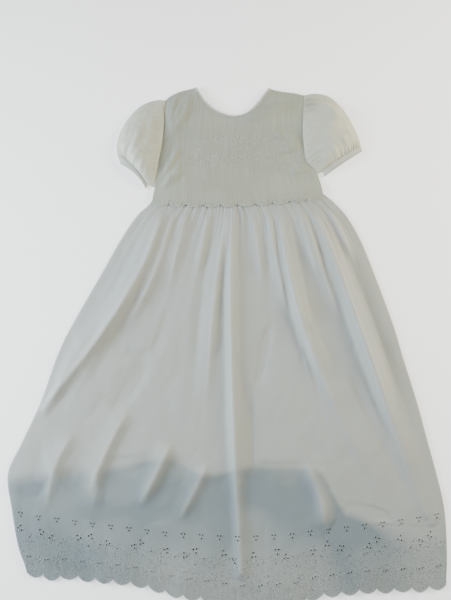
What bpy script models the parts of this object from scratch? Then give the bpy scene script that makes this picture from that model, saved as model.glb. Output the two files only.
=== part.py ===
"""Christening gown with short puffed sleeves, laid flat on its back.

Metres, +Z up. The gown lies on z = 0 with its hem towards -Y and its neck towards +Y. Sizes are
measured from the middle of the waist; the finished model is moved so that the origin is under the
centre of its bounding box.
"""

import math

import bmesh
import bpy
from mathutils import Vector

# Cloth and seams
CLOTH = 0.0010  # wall of every cloth piece
SEAM_GAP = 0.0003  # clear space between two pieces at a seam
EDGE_ROUND = 0.003  # radius of the soft fold along side seams and shoulders
EDGE_START = 0.0008  # height of the cloth's outer face where that fold meets the surface
BACK_INSET = 0.0032  # how far the back panels stay inside that fold at the sides
SHOULDER_INSET = 0.0048  # and at the shoulders, whose lines slope

# Scalloped borders
HEM_SCALLOP_DEPTH = 0.0068
WAIST_SCALLOP_DEPTH = 0.0055
HEM_SCALLOPS = 24
WAIST_SCALLOPS = 10
COLUMNS_PER_SCALLOP = 4

# Skirt
GATHERS = 24
GATHER_LIFT = 0.0012  # how far a gather rises above and falls below the cloth's mean height
GATHER_FADE = 0.075  # distance over which the gathers open out
SKIRT_ROWS = 15
LOW_FACE = 0.0029  # lowest height that the outer face of a front panel may take
SKIRT_WIDTH = 0.40  # mean width, used to turn distances into shares
SIDE_FACE = 0.0032  # height of the skirt's face just inside its side folds
SIDE_SLOPE = 0.045  # width over which the skirt rises from there to its crown
GATHER_SLOPE = 0.018  # width beside a side fold over which the gathers grow
FOLD_SLOPE = 0.020  # the same for the folds
FOLD_START, FOLD_RUN = 0.003, 0.030  # the folds grow over this stretch below the waist
UNEVEN_GATHERS = ((0.010, 6.3, 0.6), (0.004, 31.0, 0.0))  # size, rate and start of each shift sideways
HEM_RIPPLE = 0.0009
HEM_RIPPLES = 5.0

# Bodice
BODICE_ROWS = 11
BODICE_WIDTH, BODICE_LENGTH = 0.225, 0.165  # mean sizes, used to turn distances into shares
BODICE_FACE = 0.0035  # height of the bodice's face just inside its side folds
BACK_COLUMNS = (0.0, 0.06, 0.11, 0.15, 0.19, 0.24, 0.3, 0.37, 0.44, 0.51, 0.58, 0.65, 0.76, 0.88, 1.0)
BACK_ROWS = (0.0, 0.03, 0.065, 0.1, 0.16, 0.21, 0.26, 0.31, 0.38, 0.5, 0.65, 0.8, 0.92, 1.0)
NECK_LEFT, NECK_RIGHT = 0.2, 0.75  # shares of the bodice's width where the neck opening begins and ends
PLACKET_LIFT = 0.0021  # height of the back opening over its buttons
PLACKET_HALF_WIDTH = 0.012
PLACKET_SLOPE = 0.022  # width over which the cloth comes down to the surface beside the buttons
OVERLAP = 0.007  # how far each back half reaches past the middle
BACK_OPENING_X = 0.002

# Binding, buttons and cuffs
BINDING_RADIUS = 0.0014
BACK_BINDING_RADIUS = 0.0010
BACK_BINDING_INSET = 0.05  # share of the neck's curve at each shoulder tip that is left free
BACK_BINDING_MEETING = 0.53  # share at which the two back lengths meet
BUTTON_RADIUS = 0.0045
BUTTON_THICKNESS = 0.0017
BUTTONS_Y = (0.024, 0.070, 0.116)
CUFF_WIDTH = 0.009

# Each row is a line across the skirt, from the waist to the hem: its left end, its right end, and
# how far up its middle lies. The crown is the height of the cloth away from the side folds.
SKIRT_COLUMNS = ("left_x", "left_y", "right_x", "right_y", "middle_y", "crown")
SKIRT_SECTIONS = (
    (-0.1245, 0.006, 0.1275, 0.0155, 0.003, 0.0057),
    (-0.132, -0.004, 0.142, 0.003, -0.011, 0.0058),
    (-0.148, -0.020, 0.1615, -0.020, -0.030, 0.0058),
    (-0.171, -0.057, 0.181, -0.057, -0.068, 0.0060),
    (-0.1985, -0.110, 0.200, -0.110, -0.124, 0.0060),
    (-0.236, -0.181, 0.223, -0.181, -0.198, 0.0056),
    (-0.255, -0.224, 0.234, -0.224, -0.243, 0.0052),
    (-0.2765, -0.292, 0.252, -0.292, -0.314, 0.0050),
    (-0.301, -0.350, 0.265, -0.350, -0.375, 0.0052),
    (-0.317, -0.390, 0.274, -0.390, -0.418, 0.0042),
    (-0.309, -0.438, 0.2825, -0.438, -0.470, 0.0036),
    (-0.298, -0.486, 0.2825, -0.492, -0.520, 0.0035),
    (-0.2855, -0.516, 0.2795, -0.527, -0.552, 0.0034),
)

# Share of the hem's width, and how far the hem rises above or falls below an even curve there.
HEM_WAVE = (
    (0.0, 0.001),
    (0.05, 0.0012),
    (0.12, 0.009),
    (0.25, 0.0128),
    (0.40, 0.002),
    (0.54, -0.006),
    (0.64, -0.003),
    (0.71, 0.005),
    (0.80, 0.0055),
    (0.885, 0.001),
    (0.94, -0.0035),
    (1.0, -0.005),
)

# Each fold runs through three points. Its height is negative in a trough; the widths are those of
# its slopes, to the left and to the right of the way it runs; start and end are its strength there.
FOLD_COLUMNS = (
    "x1", "y1", "x2", "y2", "x3", "y3", "height", "left", "right", "start", "end",
)
SKIRT_FOLDS = (
    (-0.111, -0.012, -0.156, -0.140, -0.272, -0.299, 0.0068, 0.010, 0.024, 0.5, 0.7),
    (-0.095, -0.016, -0.118, -0.107, -0.165, -0.195, 0.0040, 0.009, 0.013, 0.4, 0.0),
    (-0.070, -0.010, -0.084, -0.062, -0.098, -0.125, 0.0034, 0.008, 0.012, 0.4, 0.0),
    (-0.123, -0.220, -0.150, -0.262, -0.184, -0.310, -0.0024, 0.011, 0.011, 0.0, 0.0),
    (-0.042, -0.010, -0.050, -0.062, -0.058, -0.118, 0.0026, 0.008, 0.008, 0.5, 0.0),
    (-0.016, -0.030, -0.032, -0.140, -0.046, -0.325, 0.0038, 0.009, 0.012, 0.4, 0.0),
    (-0.007, -0.012, -0.008, -0.230, 0.004, -0.520, 0.0056, 0.011, 0.009, 0.5, 0.4),
    (0.028, -0.370, 0.029, -0.455, 0.026, -0.540, -0.0018, 0.009, 0.009, 0.0, 0.8),
    (0.022, -0.008, 0.030, -0.070, 0.036, -0.130, 0.0026, 0.008, 0.008, 0.5, 0.0),
    (0.040, -0.180, 0.036, -0.225, 0.028, -0.280, -0.0022, 0.010, 0.010, 0.0, 0.0),
    (0.045, -0.008, 0.058, -0.098, 0.073, -0.172, 0.0036, 0.009, 0.010, 0.5, 0.0),
    (0.063, -0.008, 0.088, -0.166, 0.148, -0.325, 0.0062, 0.018, 0.009, 0.5, 0.0),
    (0.078, -0.176, 0.103, -0.228, 0.134, -0.305, -0.0022, 0.009, 0.009, 0.0, 0.0),
    (0.085, -0.004, 0.102, -0.060, 0.117, -0.125, 0.0034, 0.009, 0.009, 0.5, 0.0),
    (0.100, -0.020, 0.122, -0.102, 0.150, -0.182, 0.0034, 0.011, 0.010, 0.2, 0.0),
    (0.110, -0.004, 0.162, -0.156, 0.246, -0.428, 0.0064, 0.015, 0.012, 0.5, 0.0),
    (0.130, -0.002, 0.150, -0.045, 0.168, -0.088, 0.0034, 0.010, 0.009, 0.4, 0.0),
    (-0.150, -0.300, -0.180, -0.358, -0.212, -0.440, 0.0036, 0.012, 0.016, 0.0, 0.0),
    (-0.092, -0.345, -0.112, -0.392, -0.140, -0.442, 0.0044, 0.011, 0.016, 0.0, 0.0),
    (-0.040, -0.372, -0.062, -0.418, -0.085, -0.458, 0.0030, 0.010, 0.013, 0.0, 0.0),
    (0.090, -0.372, 0.112, -0.420, 0.118, -0.475, 0.0036, 0.016, 0.012, 0.0, 0.0),
    (-0.225, -0.330, -0.252, -0.385, -0.262, -0.450, 0.0030, 0.012, 0.014, 0.0, 0.0),
)

# Places x, y along the storage crease: above it the cloth stands a little higher than below it.
CREASE = (
    (-0.330, -0.386),
    (-0.185, -0.372),
    (-0.097, -0.364),
    (-0.041, -0.386),
    (0.020, -0.375),
    (0.106, -0.377),
    (0.150, -0.436),
    (0.215, -0.459),
    (0.300, -0.461),
)
CREASE_STEP = 0.0016
CREASE_WIDTH = 0.022
CREASE_REACH, CREASE_END = 0.03, 0.09  # the step lasts this far below the crease, then fades

# Bodice outlines as places x, y. They run from the waist up, and along the neck from left to right.
LEFT_EDGE = (
    (-0.1250, 0.001), (-0.1215, 0.025), (-0.1165, 0.060),
    (-0.1110, 0.095), (-0.1085, 0.128), (-0.1085, 0.1625),
)
RIGHT_EDGE = (
    (0.1275, 0.0105), (0.1195, 0.046), (0.1030, 0.066),
    (0.0985, 0.100), (0.0990, 0.135), (0.1035, 0.1715),
)
UNDERARM = 0.2  # share of each edge where its armhole begins
LEFT_SHOULDER = ((-0.1085, 0.1625), (-0.099, 0.1715), (-0.083, 0.179))
RIGHT_SHOULDER = ((0.067, 0.1785), (0.088, 0.1755), (0.1035, 0.1715))
WAIST_DIP = 0.0075  # how far the waist seam sags in the middle
WAIST_OVERLAP = 0.005  # how far the skirt's gathered top reaches up under the bodice's border
NECK = (
    (-0.0615, 0.1850), (-0.052, 0.169), (-0.040, 0.154), (-0.022, 0.142), (-0.003, 0.1375),
    (0.015, 0.142), (0.029, 0.156), (0.040, 0.171), (0.0490, 0.1840),
)
NECK_TURN = 0.014  # length over which the neck edge turns down at the shoulder's tips
BACK_NECK_DROP = 0.004  # the back neck lies this much lower than the front neck
SHOULDER_SLOPE = 0.022  # length below a shoulder over which the cloth rises to the chest

# Heights of the bodice's outer face, by place.
CHEST_HEIGHT = 0.0064
CHEST_SLOPE = 0.080  # width over which the bodice rises from its sides, over the back opening
WAIST_HEIGHT = 0.0088
WAIST_SIDE_HEIGHT = 0.0058
ARMHOLE_HEIGHT = 0.0050
WAIST_RISE = 0.016  # distance above the waist over which the bodice climbs onto the gathers
WAIST_CLEAR = 0.002  # it keeps its full height this far above the gathered top
BORDER_SLOPE = 0.030  # width over which the border rises from its sides
BODICE_FOLDS = (
    (-0.090, 0.174, -0.099, 0.144, -0.111, 0.096, 0.0034, 0.006, 0.009, 0.7, 0.0),
    (-0.071, 0.166, -0.083, 0.132, -0.106, 0.100, 0.0030, 0.006, 0.009, 0.5, 0.0),
    (-0.078, 0.056, -0.098, 0.034, -0.120, 0.014, 0.0026, 0.007, 0.007, 0.0, 0.3),
    (-0.084, 0.086, -0.098, 0.062, -0.112, 0.040, 0.0018, 0.006, 0.008, 0.0, 0.0),
    (0.004, 0.130, 0.048, 0.143, 0.084, 0.155, 0.0032, 0.010, 0.008, 0.0, 0.4),
    (0.052, 0.110, 0.074, 0.100, 0.094, 0.094, 0.0020, 0.007, 0.007, 0.0, 0.6),
    (0.060, 0.078, 0.080, 0.084, 0.096, 0.090, 0.0018, 0.006, 0.006, 0.0, 0.6),
    (0.078, 0.044, 0.096, 0.050, 0.114, 0.056, 0.0020, 0.006, 0.006, 0.0, 0.4),
)

# Sleeve sections from armhole to cuff: the outer end, the inner end, the height of the puff and how
# far the line between the ends bows away from the cuff.
SLEEVE_COLUMNS = ("outer_x", "outer_y", "inner_x", "inner_y", "height", "bow")
LEFT_SLEEVE = (
    (-0.1090, 0.1630, -0.1222, 0.0245, 0.0048, 0.000),
    (-0.1240, 0.1650, -0.1238, 0.0248, 0.0120, 0.000),
    (-0.1475, 0.1520, -0.1255, 0.0254, 0.0180, 0.000),
    (-0.1660, 0.1300, -0.1272, 0.0261, 0.0205, 0.001),
    (-0.1770, 0.1060, -0.1289, 0.0268, 0.0185, 0.002),
    (-0.1800, 0.0860, -0.1306, 0.0276, 0.0135, 0.003),
    (-0.1785, 0.0755, -0.1323, 0.0290, 0.0100, 0.004),
)
RIGHT_SLEEVE = (
    (0.1040, 0.1720, 0.1200, 0.0465, 0.0048, 0.000),
    (0.1205, 0.1760, 0.1212, 0.0466, 0.0120, 0.000),
    (0.1420, 0.1680, 0.1225, 0.0468, 0.0180, 0.000),
    (0.1610, 0.1490, 0.1238, 0.0472, 0.0205, 0.001),
    (0.1750, 0.1230, 0.1250, 0.0480, 0.0185, 0.001),
    (0.1835, 0.1010, 0.1262, 0.0490, 0.0135, 0.001),
    (0.1855, 0.0900, 0.1275, 0.0492, 0.0100, 0.001),
)
LEFT_CUFF_END = (-0.1740, 0.0625, -0.1345, 0.0220, 0.0100, 0.005)
RIGHT_CUFF_END = (0.1877, 0.0825, 0.1295, 0.0415, 0.0100, 0.001)
TUBE_END = 0.0020  # radius of a flattened tube's folded ends
END_TURNS = (0.0, math.pi / 4, math.pi / 2)
TUBE_TOP_STEPS = 30
TUBE_UNDER_STEPS = 6
SLEEVE_RINGS = 9
SLEEVE_GATHERS = 6
SLEEVE_GATHER_LIFT = 0.0012
HEAD_GATHER_REACH = 0.30  # share of the sleeve's length over which its head gathers fade
CUFF_GATHER_REACH = 0.28

# Finishes
WHITE_COTTON = (0.86, 0.87, 0.86, 1.0)
WHITE_BORDER = (0.84, 0.86, 0.87, 1.0)
BUTTON_WHITE = (0.90, 0.89, 0.86, 1.0)


def clear_scene():
    for item in list(bpy.data.objects):
        bpy.data.objects.remove(item)


def finish(name, colour, roughness):
    material = bpy.data.materials.new(name)
    material.use_nodes = True
    shader = material.node_tree.nodes["Principled BSDF"]
    shader.inputs["Base Color"].default_value = colour
    shader.inputs["Roughness"].default_value = roughness
    shader.inputs["Metallic"].default_value = 0.0
    return material


def eased(share):
    share = min(max(share, 0.0), 1.0)
    return share * share * (3.0 - 2.0 * share)


def mixed(first, second, share):
    return first + (second - first) * share


def spline(values, share):
    """Smooth curve through evenly spaced values, which may be numbers or vectors."""
    last = len(values) - 1
    place = min(max(share, 0.0), 1.0) * last
    here = min(int(place), last - 1)
    t = place - here
    a = values[max(here - 1, 0)]
    b = values[here]
    c = values[here + 1]
    d = values[min(here + 2, last)]
    return b + (c - a) * (0.5 * t) + (a * 2.0 - b * 5.0 + c * 4.0 - d) * (0.5 * t * t) + (
        b * 3.0 - a - c * 3.0 + d
    ) * (0.5 * t * t * t)


def column(table, columns, name):
    return [row[columns.index(name)] for row in table]


def stepped(table, x):
    """Height of a curve through a table of x and value rows, eased between the rows."""
    if x <= table[0][0]:
        return table[0][1]
    for (x1, y1), (x2, y2) in zip(table, table[1:]):
        if x <= x2:
            return mixed(y1, y2, eased((x - x1) / (x2 - x1)))
    return table[-1][1]


def curve_point(points, share):
    return spline([Vector(point) for point in points], share)


def scallop(share, count):
    """0 at the notches and 1 at the lowest point of each rounded scallop."""
    return abs(math.sin(math.pi * share * count)) ** 0.7


def fold_lift(x, y, folds):
    """Height that the named folds add at a place, each from its nearest point."""
    lift = 0.0
    here = Vector((x, y))
    for row in folds:
        fold = dict(zip(FOLD_COLUMNS, row))
        steps = 8
        first = Vector((fold["x1"], fold["y1"]))
        middle = Vector((fold["x2"], fold["y2"])) * 2 - (first + Vector((fold["x3"], fold["y3"]))) / 2
        last = Vector((fold["x3"], fold["y3"]))
        best, along, side = 1.0, 0.0, 1.0
        before = first
        for step in range(1, steps + 1):
            t = step / steps
            after = first * (1 - t) ** 2 + middle * (2 * t * (1 - t)) + last * t * t
            run = after - before
            part = min(max((here - before).dot(run) / run.length_squared, 0.0), 1.0)
            offset = here - (before + run * part)
            if offset.length < best:
                best = offset.length
                along = (step - 1 + part) / steps
                side = run.x * offset.y - run.y * offset.x
            before = after
        width = fold["left"] if side > 0 else fold["right"]
        strength = min(
            mixed(fold["start"], 1.0, eased(along / 0.25)),
            mixed(fold["end"], 1.0, eased((1.0 - along) / 0.35)),
        )
        lift += fold["height"] * strength * math.exp(-((best / width) ** 2))
    return lift


def edge_fold(distance):
    """Quarter round of a side fold: 0 at the very edge and 1 where the cloth is level."""
    share = min(max(distance / EDGE_ROUND, 0.0), 1.0)
    return math.sqrt(1.0 - (1.0 - share) ** 2)


def placket_lift(x, y):
    """Height that the buttons give to the back opening; it comes down to the waist seam."""
    beyond = abs(x - BACK_OPENING_X) - PLACKET_HALF_WIDTH
    return PLACKET_LIFT * (1.0 - eased(beyond / PLACKET_SLOPE)) * eased((y - 0.004) / 0.011)


# Skirt


def skirt_plan(u, v):
    """Place in plan of the skirt's cloth, u from left to right and v from waist to hem."""
    line = {name: spline(column(SKIRT_SECTIONS, SKIRT_COLUMNS, name), v) for name in SKIRT_COLUMNS}
    uneven = sum(size * math.sin(rate * u + start) for size, rate, start in UNEVEN_GATHERS)
    across = u + uneven * math.sin(math.pi * u) * (1.0 - v) ** 2
    x = mixed(line["left_x"], line["right_x"], across)
    ends = mixed(line["left_y"], line["right_y"], across)
    bow = line["middle_y"] - (line["left_y"] + line["right_y"]) / 2
    y = ends + bow * 4.0 * across * (1.0 - across)
    y += stepped(HEM_WAVE, u) * eased((v - 0.75) / 0.25)
    y -= HEM_SCALLOP_DEPTH * scallop(u, HEM_SCALLOPS) * eased((v - 0.97) / 0.03)
    return x, y, line


def skirt_height(u, v, x, y, line):
    width = line["right_x"] - line["left_x"]
    from_side = min(u, 1.0 - u) * width
    inner = eased(from_side / SIDE_SLOPE)
    height = mixed(SIDE_FACE, line["crown"], inner)
    down = max(0.0, -y)
    gathers = GATHER_LIFT * math.sin(2.0 * math.pi * GATHERS * u) * math.exp(-down / GATHER_FADE)
    height += gathers * eased(from_side / GATHER_SLOPE)
    folds = fold_lift(x, y, SKIRT_FOLDS) * eased(from_side / FOLD_SLOPE)
    height += folds * eased((-FOLD_START - y) / FOLD_RUN)
    below = stepped(CREASE, x) - y
    step = CREASE_STEP * eased(below / CREASE_WIDTH) * (1.0 - eased((below - CREASE_REACH) / CREASE_END))
    height -= step * inner
    ripple = HEM_RIPPLE * math.sin(2.0 * math.pi * HEM_RIPPLES * u + 1.0)
    height += ripple * eased((v - 0.75) / 0.25) * inner
    height = max(height, LOW_FACE)
    return mixed(EDGE_START, height, edge_fold(from_side))


def with_edge_columns(steps, width):
    """Shares across a panel: even steps, with three more at each side for its rounded fold."""
    close = [EDGE_ROUND * part / width for part in (0.13, 0.5)]
    even = [step / steps for step in range(steps + 1)]
    return [0.0, *close, *even[1:-1], *[1.0 - part for part in reversed(close)], 1.0]


def sheet(name, shares_across, shares_along, place, material, closed=False, flip=False):
    """A cloth wall: a grid whose points lie where place says, thickened inwards."""
    across, along = len(shares_across) - 1, len(shares_along) - 1
    grid = bmesh.new()
    bmesh.ops.create_grid(grid, x_segments=across, y_segments=along, size=1.0)
    for point in grid.verts:
        u = shares_across[round((point.co.x + 1.0) / 2.0 * across)]
        v = shares_along[round((point.co.y + 1.0) / 2.0 * along)]
        point.co = place(u, v)
    if closed:
        bmesh.ops.remove_doubles(grid, verts=grid.verts, dist=1e-6)
    if flip:
        bmesh.ops.reverse_faces(grid, faces=grid.faces)
    mesh = bpy.data.meshes.new(name)
    grid.to_mesh(mesh)
    grid.free()
    mesh.shade_smooth()
    piece = bpy.data.objects.new(name, mesh)
    piece.data.materials.append(material)
    wall = piece.modifiers.new("Cloth wall", "SOLIDIFY")
    wall.thickness = CLOTH
    wall.offset = -1.0
    return piece


def skirt_rows():
    """Shares down the skirt, with one close to each end."""
    return [0.0, 0.03, *[0.03 + 0.94 * row / SKIRT_ROWS for row in range(1, SKIRT_ROWS + 1)], 1.0]


def skirt_front(material):
    def place(u, v):
        down = 1.0 - v
        x, y, line = skirt_plan(u, down)
        return Vector((x, y, skirt_height(u, down, x, y, line)))

    rows = [1.0 - share for share in reversed(skirt_rows())]
    columns = with_edge_columns(HEM_SCALLOPS * COLUMNS_PER_SCALLOP, SKIRT_WIDTH)
    return sheet("skirt_front", columns, rows, place, material)


def flat_outline(name, points, material):
    """A flat piece of cloth that rests on the surface, cut to an outline."""
    curve = bpy.data.curves.new(name, "CURVE")
    curve.dimensions = "2D"
    curve.fill_mode = "BOTH"
    curve.extrude = CLOTH / 2
    outline = curve.splines.new("POLY")
    outline.points.add(len(points) - 1)
    for point, (x, y) in zip(outline.points, points):
        point.co = (x, y, 0.0, 1.0)
    outline.use_cyclic_u = True
    piece = bpy.data.objects.new(name, curve)
    piece.location.z = CLOTH / 2
    piece.data.materials.append(material)
    return piece


def skirt_back(material):
    """The back panel: the front's outline, drawn in by the width of the side folds."""

    def inside(u, v):
        line = skirt_plan(u, v)[2]
        side = BACK_INSET / (line["right_x"] - line["left_x"])
        return skirt_plan(min(max(u, side), 1.0 - side), v)[:2]

    steps = HEM_SCALLOPS * COLUMNS_PER_SCALLOP
    hem = [inside(step / steps, 1.0) for step in range(steps + 1)]
    hem = [(x, y + SEAM_GAP) for x, y in hem]
    sides = skirt_rows()[2:-1]
    waist = [waist_seam(mixed(0.015, 0.985, step / 12)) for step in range(13)]
    waist = [(place.x, place.y - SEAM_GAP) for place in reversed(waist)]
    right = [inside(1.0, share) for share in reversed(sides)]
    left = [inside(0.0, share) for share in sides]
    return flat_outline("skirt_back", [*hem, *right, *waist, *left], material)


# Bodice


def neck_point(share, inset, drop=0.0):
    """Place on the neck opening, moved into the cloth by the inset."""
    here = curve_point(NECK, share)
    run = curve_point(NECK, share + 0.01) - curve_point(NECK, share - 0.01)
    run.normalize()
    return Vector((here.x + run.y * inset, here.y - run.x * inset - drop))


def bodice_top(u, inset, drop):
    if u < NECK_LEFT:
        return curve_point([*LEFT_SHOULDER, neck_point(0.0, inset, drop)], u / NECK_LEFT)
    if u > NECK_RIGHT:
        line = [neck_point(1.0, inset, drop), *RIGHT_SHOULDER]
        return curve_point(line, (u - NECK_RIGHT) / (1.0 - NECK_RIGHT))
    return neck_point((u - NECK_LEFT) / (NECK_RIGHT - NECK_LEFT), inset, drop)


def waist_seam(u):
    """Place on the seam that joins the bodice and the skirt."""
    here = Vector(LEFT_EDGE[0]).lerp(Vector(RIGHT_EDGE[0]), u)
    here.y -= WAIST_DIP * 4.0 * u * (1.0 - u)
    return here


def scalloped_waist(u):
    here = waist_seam(u)
    here.y -= WAIST_SCALLOP_DEPTH * scallop(u, WAIST_SCALLOPS)
    return here


def waist_share(x):
    return (x - LEFT_EDGE[0][0]) / (RIGHT_EDGE[0][0] - LEFT_EDGE[0][0])


def bodice_plan(u, v, inset, drop=0.0, bottom=scalloped_waist):
    """Coons patch between the waist edge, the two sides, and the shoulders and neck."""
    low, high = bottom(u), bodice_top(u, inset, drop)
    left, right = curve_point(LEFT_EDGE, v), curve_point(RIGHT_EDGE, v)
    low_corners = bottom(0.0).lerp(bottom(1.0), u)
    high_corners = Vector(LEFT_EDGE[-1]).lerp(Vector(RIGHT_EDGE[-1]), u)
    return low.lerp(high, v) + left.lerp(right, u) - low_corners.lerp(high_corners, v)


def at_armhole(v):
    """0 beside the side seam and 1 beside the armhole."""
    return eased((v - UNDERARM + 0.04) / 0.06)


def bodice_height(u, v, place):
    above_waist = place.y - waist_seam(waist_share(place.x)).y
    over_waist = 1.0 - eased((above_waist - WAIST_OVERLAP - WAIST_CLEAR) / WAIST_RISE)
    from_side = min(u, 1.0 - u) * BODICE_WIDTH
    side_height = mixed(EDGE_START, ARMHOLE_HEIGHT, at_armhole(v))
    side_height = mixed(side_height, WAIST_SIDE_HEIGHT, over_waist)
    low = mixed(BODICE_FACE, ARMHOLE_HEIGHT, at_armhole(v))
    height = mixed(low, CHEST_HEIGHT, eased(from_side / CHEST_SLOPE))
    height += fold_lift(place.x, place.y, BODICE_FOLDS) * eased(from_side / FOLD_SLOPE)
    border = mixed(WAIST_SIDE_HEIGHT, WAIST_HEIGHT, eased(from_side / BORDER_SLOPE))
    height = mixed(height, border, over_waist)
    height = mixed(side_height, height, edge_fold(from_side))
    into_neck = min(u - NECK_LEFT, NECK_RIGHT - u) * BODICE_WIDTH
    shoulder = 1.0 - eased((into_neck + NECK_TURN / 2) / NECK_TURN)
    from_top = (1.0 - v) * BODICE_LENGTH
    rounded = mixed(EDGE_START, BODICE_FACE, edge_fold(from_top))
    return mixed(height, mixed(rounded, height, eased(from_top / SHOULDER_SLOPE)), shoulder)


def bodice_front(material):
    def place(u, v):
        where = bodice_plan(u, v, 2 * BINDING_RADIUS + SEAM_GAP)
        return Vector((where.x, where.y, bodice_height(u, v, where)))

    columns = with_edge_columns(WAIST_SCALLOPS * COLUMNS_PER_SCALLOP, BODICE_WIDTH)
    rows = [0.0, 0.035, 0.075, *[0.075 + 0.89 * row / BODICE_ROWS for row in range(1, BODICE_ROWS + 1)]]
    rows = [*rows, 0.982, 0.990, 1.0]
    return sheet("bodice_front", columns, rows, place, material)


def bodice_back(name, left_half, material):
    """One half of the back: plain, inset from the front's folds, raised over the buttons."""
    layer = 0.0 if left_half else CLOTH + SEAM_GAP
    reach = OVERLAP / BODICE_WIDTH
    inset = 2 * BACK_BINDING_RADIUS + 2 * SEAM_GAP

    def place(u, v):
        side = mixed(BACK_INSET, SEAM_GAP, at_armhole(v)) / BODICE_WIDTH
        across = mixed(side, 0.5 + reach, u) if left_half else mixed(0.5 - reach, 1.0 - side, u)
        into_neck = min(across - NECK_LEFT, NECK_RIGHT - across) * BODICE_WIDTH
        top = SHOULDER_INSET * (1.0 - eased(into_neck / NECK_TURN))
        along = v * (1.0 - top / BODICE_LENGTH)
        where = bodice_plan(across, along, inset, BACK_NECK_DROP, waist_seam)
        beyond = abs(where.x - BACK_OPENING_X) - OVERLAP
        stacked = layer * (1.0 - eased((beyond - 0.003) / 0.012))
        return Vector((where.x, where.y, CLOTH + placket_lift(*where) + stacked))

    across = list(BACK_COLUMNS)
    if left_half:
        across = [1.0 - share for share in reversed(across)]
    return sheet(name, across, BACK_ROWS, place, material)


def front_binding_height(share):
    """The binding's middle: level with the cloth's wall, and down on the surface at the tips."""
    u = mixed(NECK_LEFT, NECK_RIGHT, share)
    inside = bodice_plan(u, 1.0, 2 * BINDING_RADIUS + SEAM_GAP)
    return max(bodice_height(u, 1.0, inside) - CLOTH / 2, BINDING_RADIUS)


def back_binding_height(share):
    """On the surface, raised with the cloth where the opening's two halves overlap."""
    return BACK_BINDING_RADIUS + placket_lift(*neck_point(share, BACK_BINDING_RADIUS, BACK_NECK_DROP))


def binding(name, radius, start, end, drop, height, material):
    """Rolled binding along a stretch of the neck opening."""
    steps = max(6, round(40 * abs(end - start)))
    curve = bpy.data.curves.new(name, "CURVE")
    curve.dimensions = "3D"
    curve.bevel_depth = radius
    curve.bevel_resolution = 1
    curve.use_fill_caps = True
    line = curve.splines.new("POLY")
    line.points.add(steps)
    for step, point in enumerate(line.points):
        share = mixed(start, end, step / steps)
        where = neck_point(share, radius, drop)
        point.co = (where.x, where.y, height(share), 1.0)
    piece = bpy.data.objects.new(name, curve)
    piece.data.materials.append(material)
    return piece


# Sleeves


def bowed(row, along):
    """Place on the line between a section's ends, bowed away from the cuff."""
    outer, inner = Vector(row[0:2]), Vector(row[2:4])
    run = inner - outer
    t = along / run.length
    away = Vector((-run.y, run.x)).normalized()
    if away.y < 0:
        away = -away
    return outer + run * t + away * (row[5] * 4.0 * t * (1.0 - t))


def tube_section(width, height, wave):
    """Distances along a flattened tube and heights: up over the top, then back along its underside."""
    points = [(TUBE_END * (1.0 - math.cos(turn)), TUBE_END * (1.0 + math.sin(turn))) for turn in END_TURNS]
    top = []
    for step in range(1, TUBE_TOP_STEPS):
        t = step / TUBE_TOP_STEPS
        t = t - math.sin(2.0 * math.pi * t) / (4.0 * math.pi)
        rise = math.sin(math.pi * t) ** 0.75
        lift = wave * math.sin(2.0 * math.pi * SLEEVE_GATHERS * t) * eased(rise / 0.7)
        reach = width - 2.0 * TUBE_END
        top.append((TUBE_END + t * reach, 2.0 * TUBE_END + (height - 2.0 * TUBE_END) * rise + lift))
    far = [(width - along, z) for along, z in reversed(points)]
    near_floor = [(along, 2.0 * TUBE_END - z) for along, z in points[1:]]
    far_floor = [(width - along, z) for along, z in near_floor]
    under = [
        (mixed(width - TUBE_END, TUBE_END, step / TUBE_UNDER_STEPS), 0.0)
        for step in range(1, TUBE_UNDER_STEPS)
    ]
    return [*points, *top, *far, *far_floor, *under, *reversed(near_floor)]


def tube(name, rings, material, flip):
    """A cloth tube through rings of points, thickened inwards."""
    round_it = len(rings[0])

    def place(u, v):
        ring = rings[round(v * (len(rings) - 1))]
        return ring[round(u * round_it) % round_it]

    across = [step / round_it for step in range(round_it + 1)]
    along = [step / (len(rings) - 1) for step in range(len(rings))]
    return sheet(name, across, along, place, material, closed=True, flip=flip)


def sleeve(name, table, armhole, material, flip):
    """A puffed sleeve, gathered at its head and at its cuff."""
    rings = []
    for step in range(SLEEVE_RINGS + 1):
        share = step / SLEEVE_RINGS
        row = [spline(column(table, SLEEVE_COLUMNS, name), share) for name in SLEEVE_COLUMNS]
        width = (Vector(row[2:4]) - Vector(row[0:2])).length
        head = 1.0 - eased(share / HEAD_GATHER_REACH)
        foot = 1.0 - eased((1.0 - share) / CUFF_GATHER_REACH)
        ring = []
        for along, z in tube_section(width, row[4], SLEEVE_GATHER_LIFT * max(head, foot)):
            straight = bowed(row, along)
            seam = armhole(along / width)
            where = seam.lerp(straight, eased(share / 0.3))
            ring.append(Vector((where.x, where.y, z)))
        rings.append(ring)
    return tube(name, rings, material, flip)


def cuff(name, start, end, material, flip):
    """The narrow band that the sleeve is gathered into."""
    rings = []
    for share in (SEAM_GAP * 2 / CUFF_WIDTH, 0.5, 1.0):
        row = [mixed(a, b, share) for a, b in zip(start, end)]
        width = (Vector(row[2:4]) - Vector(row[0:2])).length
        section = tube_section(width, row[4], 0.0)
        rings.append([Vector((*bowed(row, along), z)) for along, z in section])
    return tube(name, rings, material, flip)


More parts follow.
